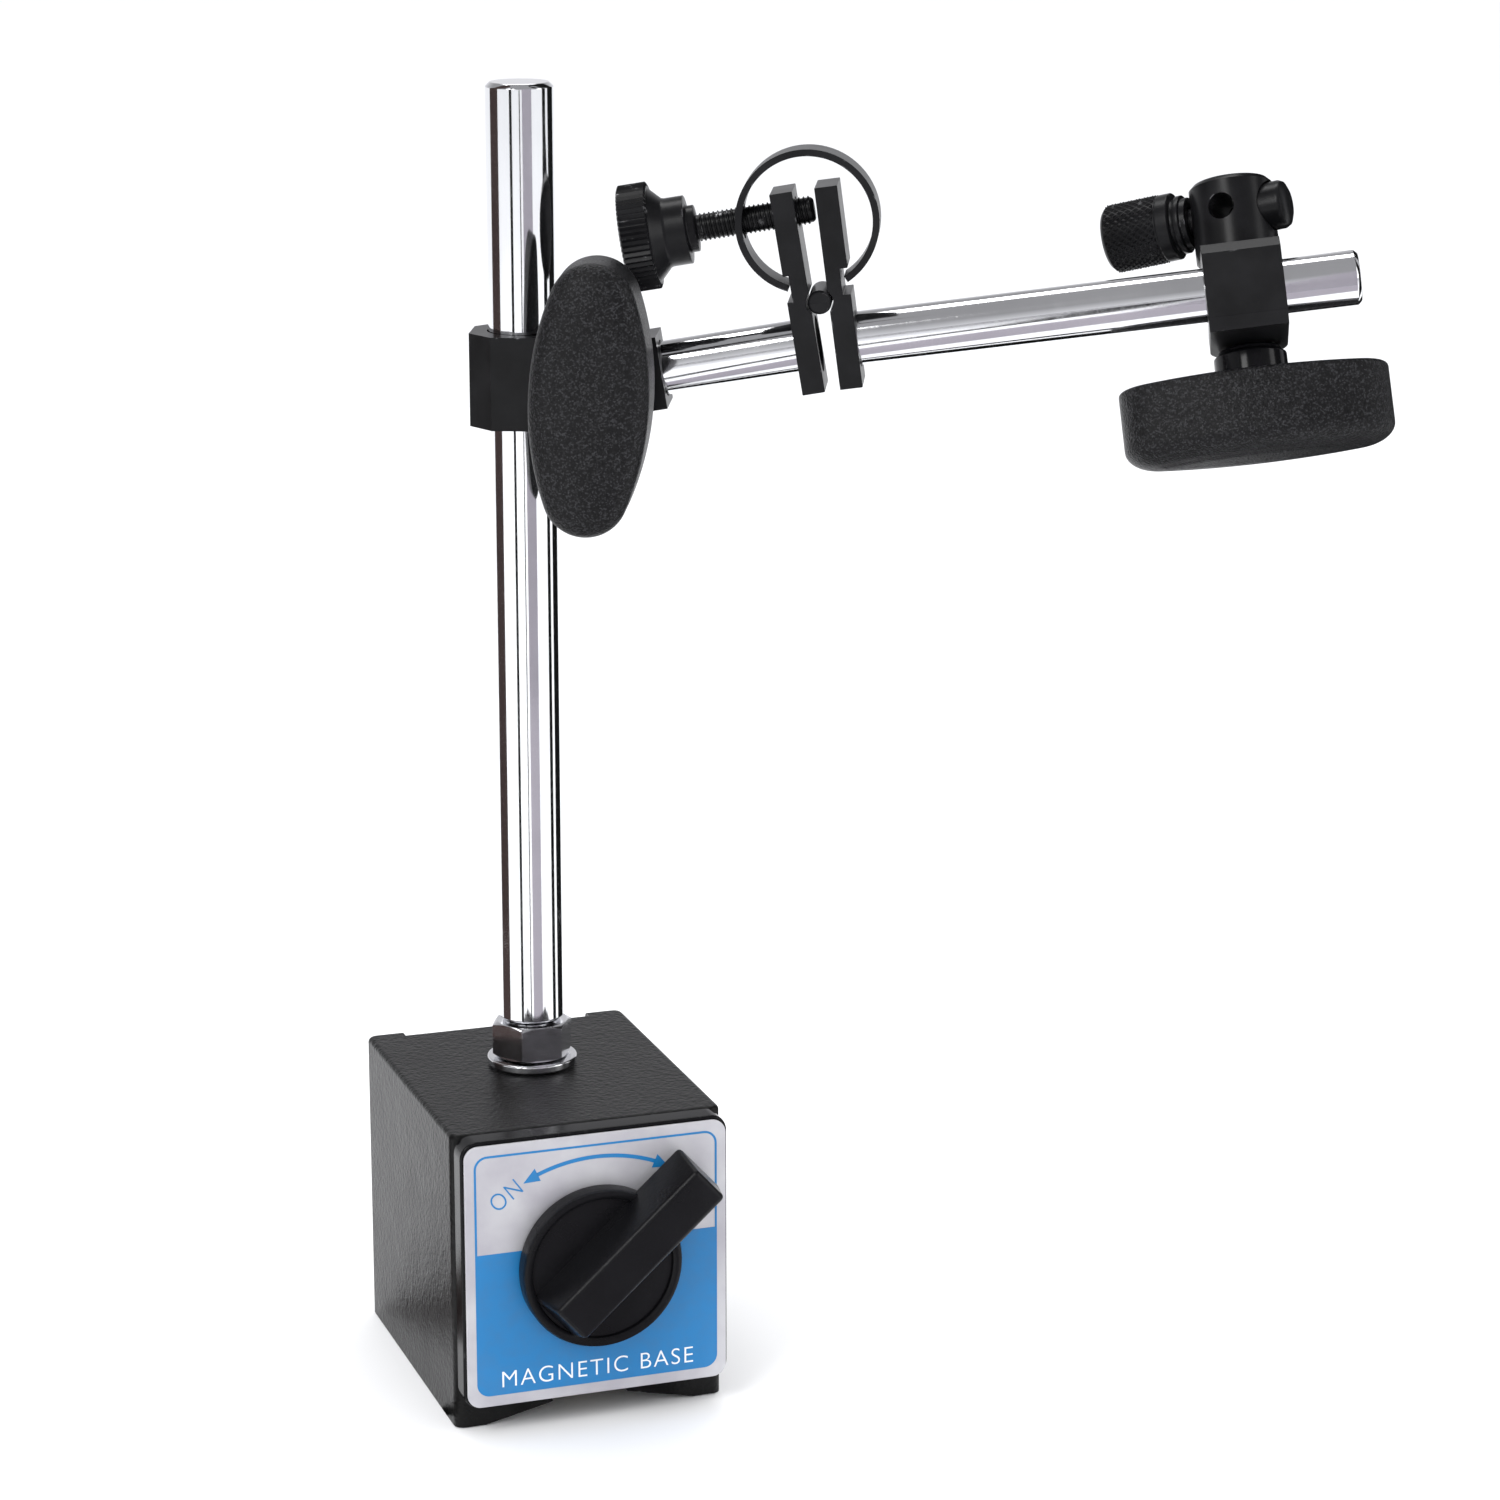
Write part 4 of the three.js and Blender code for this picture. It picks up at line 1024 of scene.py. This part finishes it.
def hexagon_nut(low, high, bore):
    """A nut with both ends chamfered and its bore countersunk."""
    shape = sawn(hexagon_corners(NUT_FLATS), low, high)
    keep_inside(shape, turned([
        (0, low), (6.6, low), (7.51, low + 0.5), (7.51, high - 0.6), (6.4, high), (0, high),
    ], 96))
    carve(shape, turned([
        (0, low - 1), (bore + 0.5, low - 1), (bore + 0.5, low), (bore, low + 0.5),
        (bore, high - 0.5), (bore + 0.5, high), (bore + 0.5, high + 1), (0, high + 1),
    ], 64))
    return ease_edges(shape, 0.12, 2)


fit("chrome_nut", hexagon_nut(57.1, 63.6, 4.2), column_place, "base", [nut_chrome], ["column_nut"])


# ------------------------------------------------------------------ straps, bolt and arm eye


def bent_strap(half, inner, back, chamfer_x, chamfer_y, height, reach):
    """A strap bent round a rod standing at its origin, its legs to +X, round at the bolt."""
    nose = height / 2
    outline = [
        (-back, -half + chamfer_y), (-back + chamfer_x, -half), (reach + nose, -half),
        (reach + nose, half), (-back + chamfer_x, half), (-back, half - chamfer_y),
    ]
    shape = sawn(outline, -nose, nose)
    sides = weld(
        block((-back - 1, reach), (-half - 1, half + 1), (-nose, nose)),
        drill(nose, -half - 1, half + 1, "Y", (reach, 0, 0), 96),
    )
    keep_inside(shape, sides)
    carve(
        shape,
        drill(inner, -nose - 1, nose + 1, sides=96),
        block((0, reach + nose + 1), (-inner, inner), (-nose - 1, nose + 1)),
        drill(BOLT_HOLE, -half - 1, half + 1, "Y", (reach, 0, 0)),
    )
    return ease_edges(shape, 0.45, 3)


fit("column_clip", bent_strap(9, 6.25, 9, 4.4, 4.8, 16.5, STRAP_REACH), clamp_place, "column_clamp",
    [black_oxide], ["column_strap"])
fit("rod_clip", bent_strap(7.75, 5, 7, 2.05, 2.05, 13.7, STEM_REACH),
    dial_clamp_place @ turn(90, "Z") @ turn(-90, "X"), "rod_clamp", [black_oxide], ["rod_strap"])

bolt = sawn(hexagon_corners(NUT_FLATS), 10.9, 16.2)
keep_inside(bolt, turned([
    (0, 10.9), (7.4, 10.9), (7.51, 11.1), (7.51, 15.6), (6.4, 16.2), (0, 16.2)], 96))
weld(bolt, drill(3.95, -23, 11.5))
ease_edges(bolt, 0.12, 2)
fit("bolt_behind", bolt, bolt_place @ turn(-90, "X"), "column_clamp", [bolt_steel], ["clamp_bolt"])

ring = turned_ring([(BOLT_HOLE, 9.3), (8, 9.3), (8, 10.6), (BOLT_HOLE, 10.6)], 72)
ease_edges(ring, 0.2, 2)
fit("washer_behind", ring, bolt_place @ turn(-90, "X"), "column_clamp", [bolt_steel],
    ["bolt_washer"])

eye = drill(7.8, -5.9, 5.9, "Y", sides=96)
weld(eye, block((0, 11), (-5.9, 5.9), (-6.4, 6.4)))
carve(eye, drill(BOLT_HOLE, -20, 20, "Y"), drill(ROD_HOLE, 5.3, 12, "X"))
ease_edges(eye, 0.5, 3)
fit("eye_end", eye, arm_place, "inner_arm", [black_oxide], ["arm_eye"])


# ------------------------------------------------------------------ hand knobs


def pointed_oval(length, width, tip):
    """The knob's outline as a ring of edges: two long arcs joined by two small ones."""
    reach, half = length / 2 - tip, width / 2
    big = (reach ** 2 + half ** 2 - tip ** 2) / (2 * (half - tip))
    drop = big - half
    swing = math.degrees(math.atan2(reach, drop))
    shape = bmesh.new()
    for centre, radius, start, sweep, steps in (
        ((0, drop), big, -90 - swing, 2 * swing, 40),
        ((reach, 0), tip, -90 + swing, 180 - 2 * swing, 28),
        ((0, -drop), big, 90 - swing, 2 * swing, 40),
        ((-reach, 0), tip, 90 + swing, 180 - 2 * swing, 28),
    ):
        first = shape.verts.new((
            centre[0] + radius * math.cos(math.radians(start)),
            centre[1] + radius * math.sin(math.radians(start)), 0))
        bmesh.ops.spin(
            shape, geom=[first], cent=(*centre, 0), axis=(0, 0, 1),
            angle=math.radians(sweep), steps=steps,
        )
    bmesh.ops.remove_doubles(shape, verts=shape.verts, dist=0.01)
    return shape


def hand_knob():
    """Seated at zero, its wall rising to a crowned face along +Z."""
    shape = pointed_oval(47.5, 20.9, 7.5)
    made = bmesh.ops.contextual_create(shape, geom=list(shape.edges))
    grown = bmesh.ops.extrude_face_region(shape, geom=made["faces"], use_keep_orig=True)
    top = next(part for part in grown["geom"] if isinstance(part, bmesh.types.BMFace))
    bmesh.ops.translate(shape, verts=list(top.verts), vec=(0, 0, 10.5))
    bmesh.ops.recalc_face_normals(shape, faces=shape.faces)
    rings, side, rise = 12, 5.5, 3.55
    angles = [math.pi / 2 * i / rings for i in range(rings + 1)]
    for before, after in zip(angles, angles[1:]):
        bmesh.ops.inset_region(
            shape, faces=[top], use_even_offset=True,
            thickness=side * (math.cos(before) - math.cos(after)),
            depth=rise * (math.sin(after) - math.sin(before)),
        )
    for inset, lift in ((0.6, 0.12), (0.6, 0.08), (0.5, 0.05)):
        bmesh.ops.inset_region(
            shape, faces=[top], use_even_offset=True, thickness=inset, depth=lift)
    carve(shape, drill(6.6, -1, 9.1))
    seat = [
        edge for edge in shape.edges
        if edge.is_manifold and edge.calc_face_angle() > math.radians(60)
        and all(abs(vert.co.z) < 0.01 for vert in edge.verts)
    ]
    bmesh.ops.bevel(
        shape, geom=seat, offset=0.7, segments=4, profile=0.5, affect="EDGES", material=-1
    )
    return shape


fit("front_hand_knob", hand_knob(), front_knob_place, "front_knob", [knob_nylon], ["knob_1"],
    50)
fit("lower_hand_knob", hand_knob(), lower_knob_place, "lower_knob", [knob_nylon], ["knob_2"],
    50)


def polished_collar():
    """Between a strap's leg and its knob; its far end is just short of zero."""
    shape = turned_ring([
        (BOLT_HOLE, -5.2), (5.55, -5.2), (5.55, -4.5), (6.45, -4.1), (6.45, -0.3),
        (BOLT_HOLE, -0.3),
    ], 96)
    return ease_edges(shape, 0.28, 4, 20)


fit("front_collar", polished_collar(), front_knob_place, "column_clamp", [collar_enamel],
    ["knob_collar_1"])
fit("lower_collar", polished_collar(), lower_knob_place, "rod_clamp", [collar_enamel],
    ["knob_collar_2"])


# ------------------------------------------------------------------ arm and hinge


def polished_rod(start, end):
    shape = turned([
        (0, start), (4.1, start), (4.75, start + 0.65), (4.75, end - 0.65), (4.1, end), (0, end),
    ], 128)
    ease_edges(shape, 0.12, 2)
    shape.transform(lying)
    return shape


fit("inner_arm_rod", polished_rod(5.6, 38.3), arm_place, "inner_arm", [arm_chrome], ["inner_rod"])
fit("outer_arm_rod", polished_rod(2.1, 93.3), outer_place @ along(0, 0, -ROLLER_HEIGHT),
    "outer_arm", [arm_chrome], ["outer_rod"])


def plate_section(face, side, notch_low, notch_deep):
    """Side view of a hinge plate: its inner face at face, its notch for the spring on the other."""
    outer = face + side * 4
    return [
        (face, -15.7), (face, 19.8), (outer, 19.8), (outer, notch_low + 4.6),
        (outer - side * notch_deep, notch_low + 4.6), (outer - side * notch_deep, notch_low),
        (outer, notch_low), (outer, -15.7),
    ]


inner_hinge = upright(
    plate_section(38.8, -1, 0.8, 1), -PLATE_HALF_WIDTH, PLATE_HALF_WIDTH)
bmesh.ops.translate(inner_hinge, verts=inner_hinge.verts, vec=(0, 0, ROLLER_HEIGHT))
carve(
    inner_hinge,
    drill(ROD_HOLE, 0, 60, "X"),
    drill(2.75, 0, 60, "X", (0, 0, FINE_HEIGHT)),
    drill(ROLLER_SEAT, -20, 20, "Y", (ROLLER_REACH, 0, ROLLER_HEIGHT), 48),
)
ease_edges(inner_hinge, 0.4, 3)
fit("inner_hinge_plate", inner_hinge, arm_place, "inner_arm", [black_oxide], ["inner_plate"])

outer_hinge = upright(
    plate_section(1.6, 1, 0.8, 1.4), -PLATE_HALF_WIDTH, PLATE_HALF_WIDTH)
carve(
    outer_hinge,
    drill(ROD_HOLE, -9, 9, "X", (0, 0, -ROLLER_HEIGHT)),
    drill(ROLLER_SEAT, -20, 20, "Y", sides=48),
)
ease_edges(outer_hinge, 0.4, 3)
fit("outer_hinge_plate", outer_hinge, outer_place, "outer_arm", [black_oxide], ["outer_plate"])

roller = turned([
    (0, -6), (1.75, -6), (2.1, -5.65), (2.1, 5.65), (1.75, 6), (0, 6)], 64)
roller.transform(turn(90, "X"))
ease_edges(roller, 0.08, 2)
fit("hinge_roller", roller, arm_place @ along(ROLLER_REACH, 0, ROLLER_HEIGHT), "inner_arm",
    [black_oxide], ["roller_pin"])


def spring_ring():
    """A flat strip bent into a ring that is open at the bottom."""
    gape = 24.9
    shape = bmesh.new()
    section = [
        shape.verts.new((x, y, 0)) for x, y in ((11.4, -4), (12.6, -4), (12.6, 4), (11.4, 4))
    ]
    face = shape.faces.new(section)
    start = turn(90 - gape, "Y").to_3x3()
    bmesh.ops.rotate(shape, verts=section, cent=(0, 0, 0), matrix=start)
    bmesh.ops.spin(
        shape, geom=[face], cent=(0, 0, 0), axis=(0, -1, 0),
        angle=math.radians(360 - 2 * gape), steps=120,
    )
    tidy(shape)
    lone = [edge for edge in shape.edges if len(edge.link_faces) == 1]
    if lone:
        bmesh.ops.contextual_create(shape, geom=lone)
    tidy(shape)
    bmesh.ops.translate(shape, verts=shape.verts, vec=(ROLLER_REACH, 0, 21.8))
    carve(shape, drill(3.2, ROLLER_REACH - 16, ROLLER_REACH - 7, "X", (0, 0, FINE_HEIGHT), 48))
    return ease_edges(shape, 0.3, 3, 50)


fit("ring_spring", spring_ring(), arm_place, "inner_arm", [spring_steel], ["spring_strip"])


# ------------------------------------------------------------------ fine-adjustment screw


def thread_ridge(root, crest, pitch, start, end):
    """The ridge of a thread about Z, as one closed coil that stands on its shank."""
    turns, steps = (end - start) / pitch - 1, 28
    shape = bmesh.new()
    section = [
        shape.verts.new((radius, 0, start + pitch * height))
        for radius, height in (
            (root - 0.15, 0.04), (crest, 0.42), (crest, 0.56), (root - 0.15, 0.94))
    ]
    face = shape.faces.new(section)
    count = round(turns * steps)
    bmesh.ops.spin(
        shape, geom=[face], cent=(0, 0, 0), axis=(0, 0, 1), dvec=(0, 0, pitch / steps),
        angle=2 * math.pi * count / steps, steps=count,
    )
    bmesh.ops.remove_doubles(shape, verts=shape.verts, dist=0.0005)
    ends = [edge for edge in shape.edges if len(edge.link_faces) == 1]
    if ends:
        bmesh.ops.holes_fill(shape, edges=ends, sides=4)
    bmesh.ops.recalc_face_normals(shape, faces=shape.faces)
    return shape


def add_shape(shape, other):
    mesh = bpy.data.meshes.new("bench")
    other.to_mesh(mesh)
    other.free()
    shape.from_mesh(mesh)
    bpy.data.meshes.remove(mesh)
    return shape


def fine_adjuster():
    """Serrated rim, cone and stepped neck with a fine-pitched shank, laid along X."""
    shape = turned([
        (0, 8), (7.5, 8), (8.3, 8.7), (8.3, 13.3), (7.5, 14.1), (6.1, 15.5), (6, 16), (6, 19.4),
        (4.4, 19.4), (4.1, 19.7), (4.1, 20.9), (2.2, 21.1), (2.2, 41.35), (1.8, 41.8), (0, 41.8),
    ], 96)
    ease_edges(shape, 0.16, 2)
    rim = bmesh.new()
    bmesh.ops.create_cone(rim, cap_ends=True, segments=112, radius1=9.4, radius2=9.4, depth=4.7)
    bmesh.ops.translate(rim, verts=rim.verts, vec=(0, 0, 10.75))
    for vert in rim.verts:
        place = round(math.degrees(math.atan2(vert.co.y, vert.co.x)) / 360 * 112)
        if place % 2:
            bmesh.ops.scale(rim, verts=[vert], vec=(0.958, 0.958, 1))
    caps = [face for face in rim.faces if len(face.verts) > 4]
    bmesh.ops.inset_region(rim, faces=caps, thickness=0.45, depth=0.28, use_even_offset=True)
    add_shape(shape, rim)
    add_shape(shape, thread_ridge(2.15, 2.47, THREAD_PITCH, 21.0, 41.6))
    shape.transform(lying)
    return shape


fit("fine_adjuster", fine_adjuster(), arm_place @ along(0, 0, FINE_HEIGHT), "adjusting_screw",
    [black_oxide], ["fine_screw"], 30)


# ------------------------------------------------------------------ turret, bar and thumb nut

head = turned([
    (0, -21.75), (3.35, -21.75), (3.95, -21.15), (3.95, 8.05), (7.0, 8.05), (7.4, 8.45),
    (7.4, 21.6), (6.6, 22.4), (0, 22.4),
], 128)
carve(
    head,
    drill(4.6, -4.6, 20, "X", (0, 0, BAR_HEIGHT)),
    drill(2.9, -20, 0, "X", (0, 0, BAR_HEIGHT), 48),
    drill(2.35, -20, 20, "Y", (0, 0, BAR_HEIGHT), 48),
)
ease_edges(head, 0.3, 3)
fit("turret_head_body", head, turret_place, "turret_head", [black_oxide], ["turret"])

drawn_bar = turned([
    (0, -19.6), (2.0, -19.6), (2.5, -19.1), (2.5, -2.6), (4.3, -2.6), (4.3, 9.0), (3.9, 9.8),
    (2.9, 10.25), (1.2, 10.4), (0, 10.4),
], 96)
drawn_bar.transform(lying)
carve(drawn_bar, drill(2.45, -20, 20, "Y", sides=48))
ease_edges(drawn_bar, 0.15, 2)
fit("button_bar", drawn_bar, turret_place @ along(0, 0, BAR_HEIGHT), "clamping_bar", [black_oxide],
    ["draw_bar"], 40)


def thumb_nut():
    """Band, groove and rings, with a diamond-knurled grip, laid along X."""
    shape = turned([
        (0, -23.2), (5.2, -23.2), (5.85, -22.6), (5.85, -12.9), (6.0, -12.75), (6.0, -10.7),
        (5.85, -10.55), (4.7, -10.5), (4.7, -9.75), (5.2, -9.7), (5.2, -8.8), (4.6, -8.7),
        (4.6, -7.7), (2.8, -7.7), (2.8, -21.6), (0, -21.6),
    ], 96)
    ease_edges(shape, 0.1, 2)
    teeth, rows, step = 28, 12, 0.76
    grip = bmesh.new()
    bmesh.ops.create_cone(
        grip, cap_ends=False, segments=2 * teeth, radius1=5.8, radius2=5.8, depth=rows * step)
    bmesh.ops.subdivide_edges(
        grip, edges=[edge for edge in grip.edges
                     if abs((edge.verts[0].co - edge.verts[1].co).z) > 1], cuts=rows - 1)
    valleys = []
    for vert in grip.verts:
        around = round(math.degrees(math.atan2(vert.co.y, vert.co.x)) / 360 * 2 * teeth)
        row = round((vert.co.z + rows * step / 2) / step)
        if (around + row) % 2:
            bmesh.ops.scale(grip, verts=[vert], vec=(6.2 / 5.8, 6.2 / 5.8, 1))
        else:
            valleys.append(vert)
    bmesh.ops.connect_verts(grip, verts=valleys)
    open_ends = [edge for edge in grip.edges if edge.is_boundary]
    lips = bmesh.ops.extrude_edge_only(grip, edges=open_ends)
    lip_verts = [part for part in lips["geom"] if isinstance(part, bmesh.types.BMVert)]
    bmesh.ops.scale(grip, verts=lip_verts, vec=(0.9, 0.9, 1.04))
    bmesh.ops.holes_fill(grip, edges=[edge for edge in grip.edges if edge.is_boundary], sides=0)
    bmesh.ops.recalc_face_normals(grip, faces=grip.faces)
    bmesh.ops.translate(grip, verts=grip.verts, vec=(0, 0, -17.8))
    add_shape(shape, grip)
    shape.transform(lying)
    return shape


fit("knurled_nut", thumb_nut(), turret_place @ along(0, 0, BAR_HEIGHT), "clamping_nut",
    [black_oxide], ["thumb_nut"], 25)


# ------------------------------------------------------------------ pieces kept from the CAD

for node, finish in {
    "lower_spacer": turned_brass,
    "switch_shaft": bolt_steel,
    "rotor_magnet": magnet_ferrite,
    "rotor_shoe_upper": ground_steel,
    "rotor_shoe_lower": ground_steel,
    "rotor_pivot": turned_brass,
    "knob_insert_1": turned_brass,
    "knob_insert_2": turned_brass,
}.items():
    slots = frame["nodes"][node].material_slots
    for slot in slots:
        slot.material = finish


# ------------------------------------------------------------------ floor, light and camera


def pale_floor():
    material = new_material("pale_floor")
    nodes, links = material.node_tree.nodes, material.node_tree.links
    place = nodes.new("ShaderNodeTexCoord")
    place.label = "Place on the floor"
    place.location = (-800, 0)
    paper_frame = nodes.new("NodeFrame")
    paper_frame.label = "Paper"
    fibres = nodes.new("ShaderNodeTexNoise")
    fibres.label = "Very faint fibres"
    fibres.location = (-600, 0)
    fibres.parent = paper_frame
    fibres.inputs["Scale"].default_value = 40
    tone = nodes.new("ShaderNodeValToRGB")
    tone.label = "Near white"
    tone.location = (-380, 0)
    tone.parent = paper_frame
    tone.color_ramp.elements[0].color = (0.86, 0.86, 0.865, 1)
    tone.color_ramp.elements[1].color = (0.88, 0.88, 0.885, 1)
    shader = nodes.new("ShaderNodeBsdfPrincipled")
    shader.label = "Matt paper"
    shader.location = (-80, 0)
    shader.inputs["Roughness"].default_value = 0.9
    shader.inputs["Specular IOR Level"].default_value = 0.1
    out = nodes.new("ShaderNodeOutputMaterial")
    out.label = "Surface"
    out.location = (220, 0)
    links.new(place.outputs["Object"], fibres.inputs["Vector"])
    links.new(fibres.outputs["Fac"], tone.inputs["Fac"])
    links.new(tone.outputs["Color"], shader.inputs["Base Color"])
    links.new(shader.outputs["BSDF"], out.inputs["Surface"])
    return material


def sheet(name, width, height, place, finish):
    shape = bmesh.new()
    bmesh.ops.create_grid(shape, x_segments=1, y_segments=1, size=0.5)
    bmesh.ops.scale(shape, verts=shape.verts, vec=(width, height, 1))
    shape.transform(place)
    mesh = bpy.data.meshes.new(name)
    shape.to_mesh(mesh)
    shape.free()
    mesh.materials.append(finish)
    stage = bpy.data.objects.new(name, mesh)
    bpy.context.collection.objects.link(stage)
    return stage


FLOOR_SIZE = 30  # metres, like every size from here on
FLOOR_DROP = 0.0002  # just under the base, so the two don't fight
sheet("floor", FLOOR_SIZE, FLOOR_SIZE, Matrix.Translation((0, 0, -FLOOR_DROP)), pale_floor())


def studio_flag_cloth(name, shade):
    material = new_material(name)
    nodes, links = material.node_tree.nodes, material.node_tree.links
    shader = nodes.new("ShaderNodeBsdfDiffuse")
    shader.label = "Cloth"
    shader.inputs["Color"].default_value = (*shade, 1)
    out = nodes.new("ShaderNodeOutputMaterial")
    out.label = "Surface"
    out.location = (220, 0)
    links.new(shader.outputs["BSDF"], out.inputs["Surface"])
    return material


WEDGE_NEAR = 0.035  # from the column to where the cloth on the floor starts
black_cloth = studio_flag_cloth("black_cloth", (0.006, 0.006, 0.006))
brown_cloth = studio_flag_cloth("brown_cloth", (0.045, 0.032, 0.03))
grey_cloth = studio_flag_cloth("grey_cloth", (0.3, 0.28, 0.31))


def studio_flag(name, width, height, place, cloth):
    """A card that only shows in polished surfaces, to draw dark bands along the chrome."""
    flag = sheet(name, width, height, place, cloth)
    flag.visible_camera = False
    flag.visible_diffuse = False
    flag.visible_shadow = False
    return flag


def floor_wedge(name, azimuth, far, width, cloth):
    """Cloth on the floor from the stand out to the foot of a card, widening on the way."""
    wedge = studio_flag(name, 1, 1, Matrix.Identity(4), cloth)
    centre = column_place.translation
    for vert in wedge.data.vertices:
        at = far if vert.co.y < 0 else WEDGE_NEAR
        half = width / 2 * at / far * (1 if vert.co.x > 0 else -1)
        vert.co = turn(azimuth, "Z") @ Vector((half, -at, 0))
        vert.co += Vector((centre.x, centre.y, -FLOOR_DROP / 2))


def facing_stand(azimuth, distance, height):
    """A place round the stand; azimuth 0 is in front, 90 at the arm's side."""
    return turn(azimuth, "Z") @ Matrix.Translation((0, -distance, height)) @ turn(90, "X")


for name, cloth, azimuth, distance, width, height in (
    ("flag_far_left", brown_cloth, -113, 0.26, 0.18, 1.1),
    ("flag_left", black_cloth, -46.5, 0.3, 0.045, 1.1),
    ("flag_front", black_cloth, -16.5, 0.95, 0.055, 0.3),
    ("flag_grey", grey_cloth, 8, 0.5, 0.29, 0.6),
    ("flag_right", black_cloth, 72, 0.28, 0.07, 1.1),
    ("flag_far_right", black_cloth, 108, 0.28, 0.18, 1.1),
):
    studio_flag(
        name, width, height, column_place @ facing_stand(azimuth, distance, height / 2), cloth)
    floor_wedge(name + "_mat", azimuth, distance, width, cloth)
for name, height in (("bar_low", 0.31), ("bar_high", 0.4)):
    studio_flag(name, 1.6, 0.03, facing_stand(-10, 1.2, height), black_cloth)

world = bpy.data.worlds.new("studio")
bpy.context.scene.world = world
world.use_nodes = True
nodes, links = world.node_tree.nodes, world.node_tree.links
nodes.clear()
sky_place = nodes.new("ShaderNodeTexCoord")
sky_place.label = "Direction"
sky_place.location = (-900, 0)
height_part = nodes.new("ShaderNodeSeparateXYZ")
height_part.label = "How high it looks"
height_part.location = (-700, 0)
sky_tone = nodes.new("ShaderNodeValToRGB")
sky_tone.label = "White walls to grey ceiling"
sky_tone.location = (-500, 0)
sky_tone.color_ramp.elements[0].position = 0.12
sky_tone.color_ramp.elements[0].color = (0.8, 0.8, 0.83, 1)
sky_tone.color_ramp.elements[1].position = 0.6
sky_tone.color_ramp.elements[1].color = (0.34, 0.34, 0.35, 1)
room = nodes.new("ShaderNodeBackground")
room.label = "Room as polish shows it"
room.location = (-200, 80)
even = nodes.new("ShaderNodeBackground")
even.label = "Even light"
even.location = (-200, -80)
even.inputs["Color"].default_value = (0.97, 0.98, 1, 1)
even.inputs["Strength"].default_value = 1.2
ray = nodes.new("ShaderNodeLightPath")
ray.label = "What is asking"
ray.location = (-200, 420)
either = nodes.new("ShaderNodeMixShader")
either.label = "Polish or the rest"
either.location = (40, 0)
sky_out = nodes.new("ShaderNodeOutputWorld")
sky_out.label = "World"
sky_out.location = (260, 0)
links.new(sky_place.outputs["Generated"], height_part.inputs["Vector"])
links.new(height_part.outputs["Z"], sky_tone.inputs["Fac"])
links.new(sky_tone.outputs["Color"], room.inputs["Color"])
links.new(ray.outputs["Is Glossy Ray"], either.inputs["Fac"])
links.new(even.outputs["Background"], either.inputs[1])
links.new(room.outputs["Background"], either.inputs[2])
links.new(either.outputs["Shader"], sky_out.inputs["Surface"])
bpy.context.scene.view_settings.view_transform = "Standard"


def softbox(name, size, power, place):
    lamp = bpy.data.lights.new(name, "AREA")
    lamp.shape = "RECTANGLE"
    lamp.size, lamp.size_y = size
    lamp.energy = power
    box = bpy.data.objects.new(name, lamp)
    box.matrix_world = place
    bpy.context.collection.objects.link(box)


def aimed(position, target):
    position, target = Vector(position), Vector(target)
    facing = (target - position).to_track_quat("-Z", "Y").to_matrix().to_4x4()
    return Matrix.Translation(position) @ facing


softbox("key_light", (0.5, 0.7), 9, aimed((-0.9, -0.7, 1.0), (0, 0, 0.12)))
softbox("fill_light", (0.5, 0.7), 3, aimed((1.1, -0.7, 0.7), (0, 0, 0.12)))
softbox("top_light", (0.9, 0.4), 5, aimed((0.05, 0.5, 1.25), (0, 0, 0.1)))

SENSOR_WIDTH, LENS = 36, 101.85  # millimetres
CAMERA_REACH = (-0.20731, -0.7101, 0.30676)  # from the middle of the base
CAMERA_PITCH, CAMERA_YAW = 75.49, -19.27

camera_data = bpy.data.cameras.new("camera")
camera_data.sensor_width = SENSOR_WIDTH
camera_data.lens = LENS
camera = bpy.data.objects.new("camera", camera_data)
camera.location = base_place.translation + Vector(CAMERA_REACH)
camera.rotation_euler = (math.radians(CAMERA_PITCH), 0, math.radians(CAMERA_YAW))
bpy.context.collection.objects.link(camera)
bpy.context.scene.camera = camera
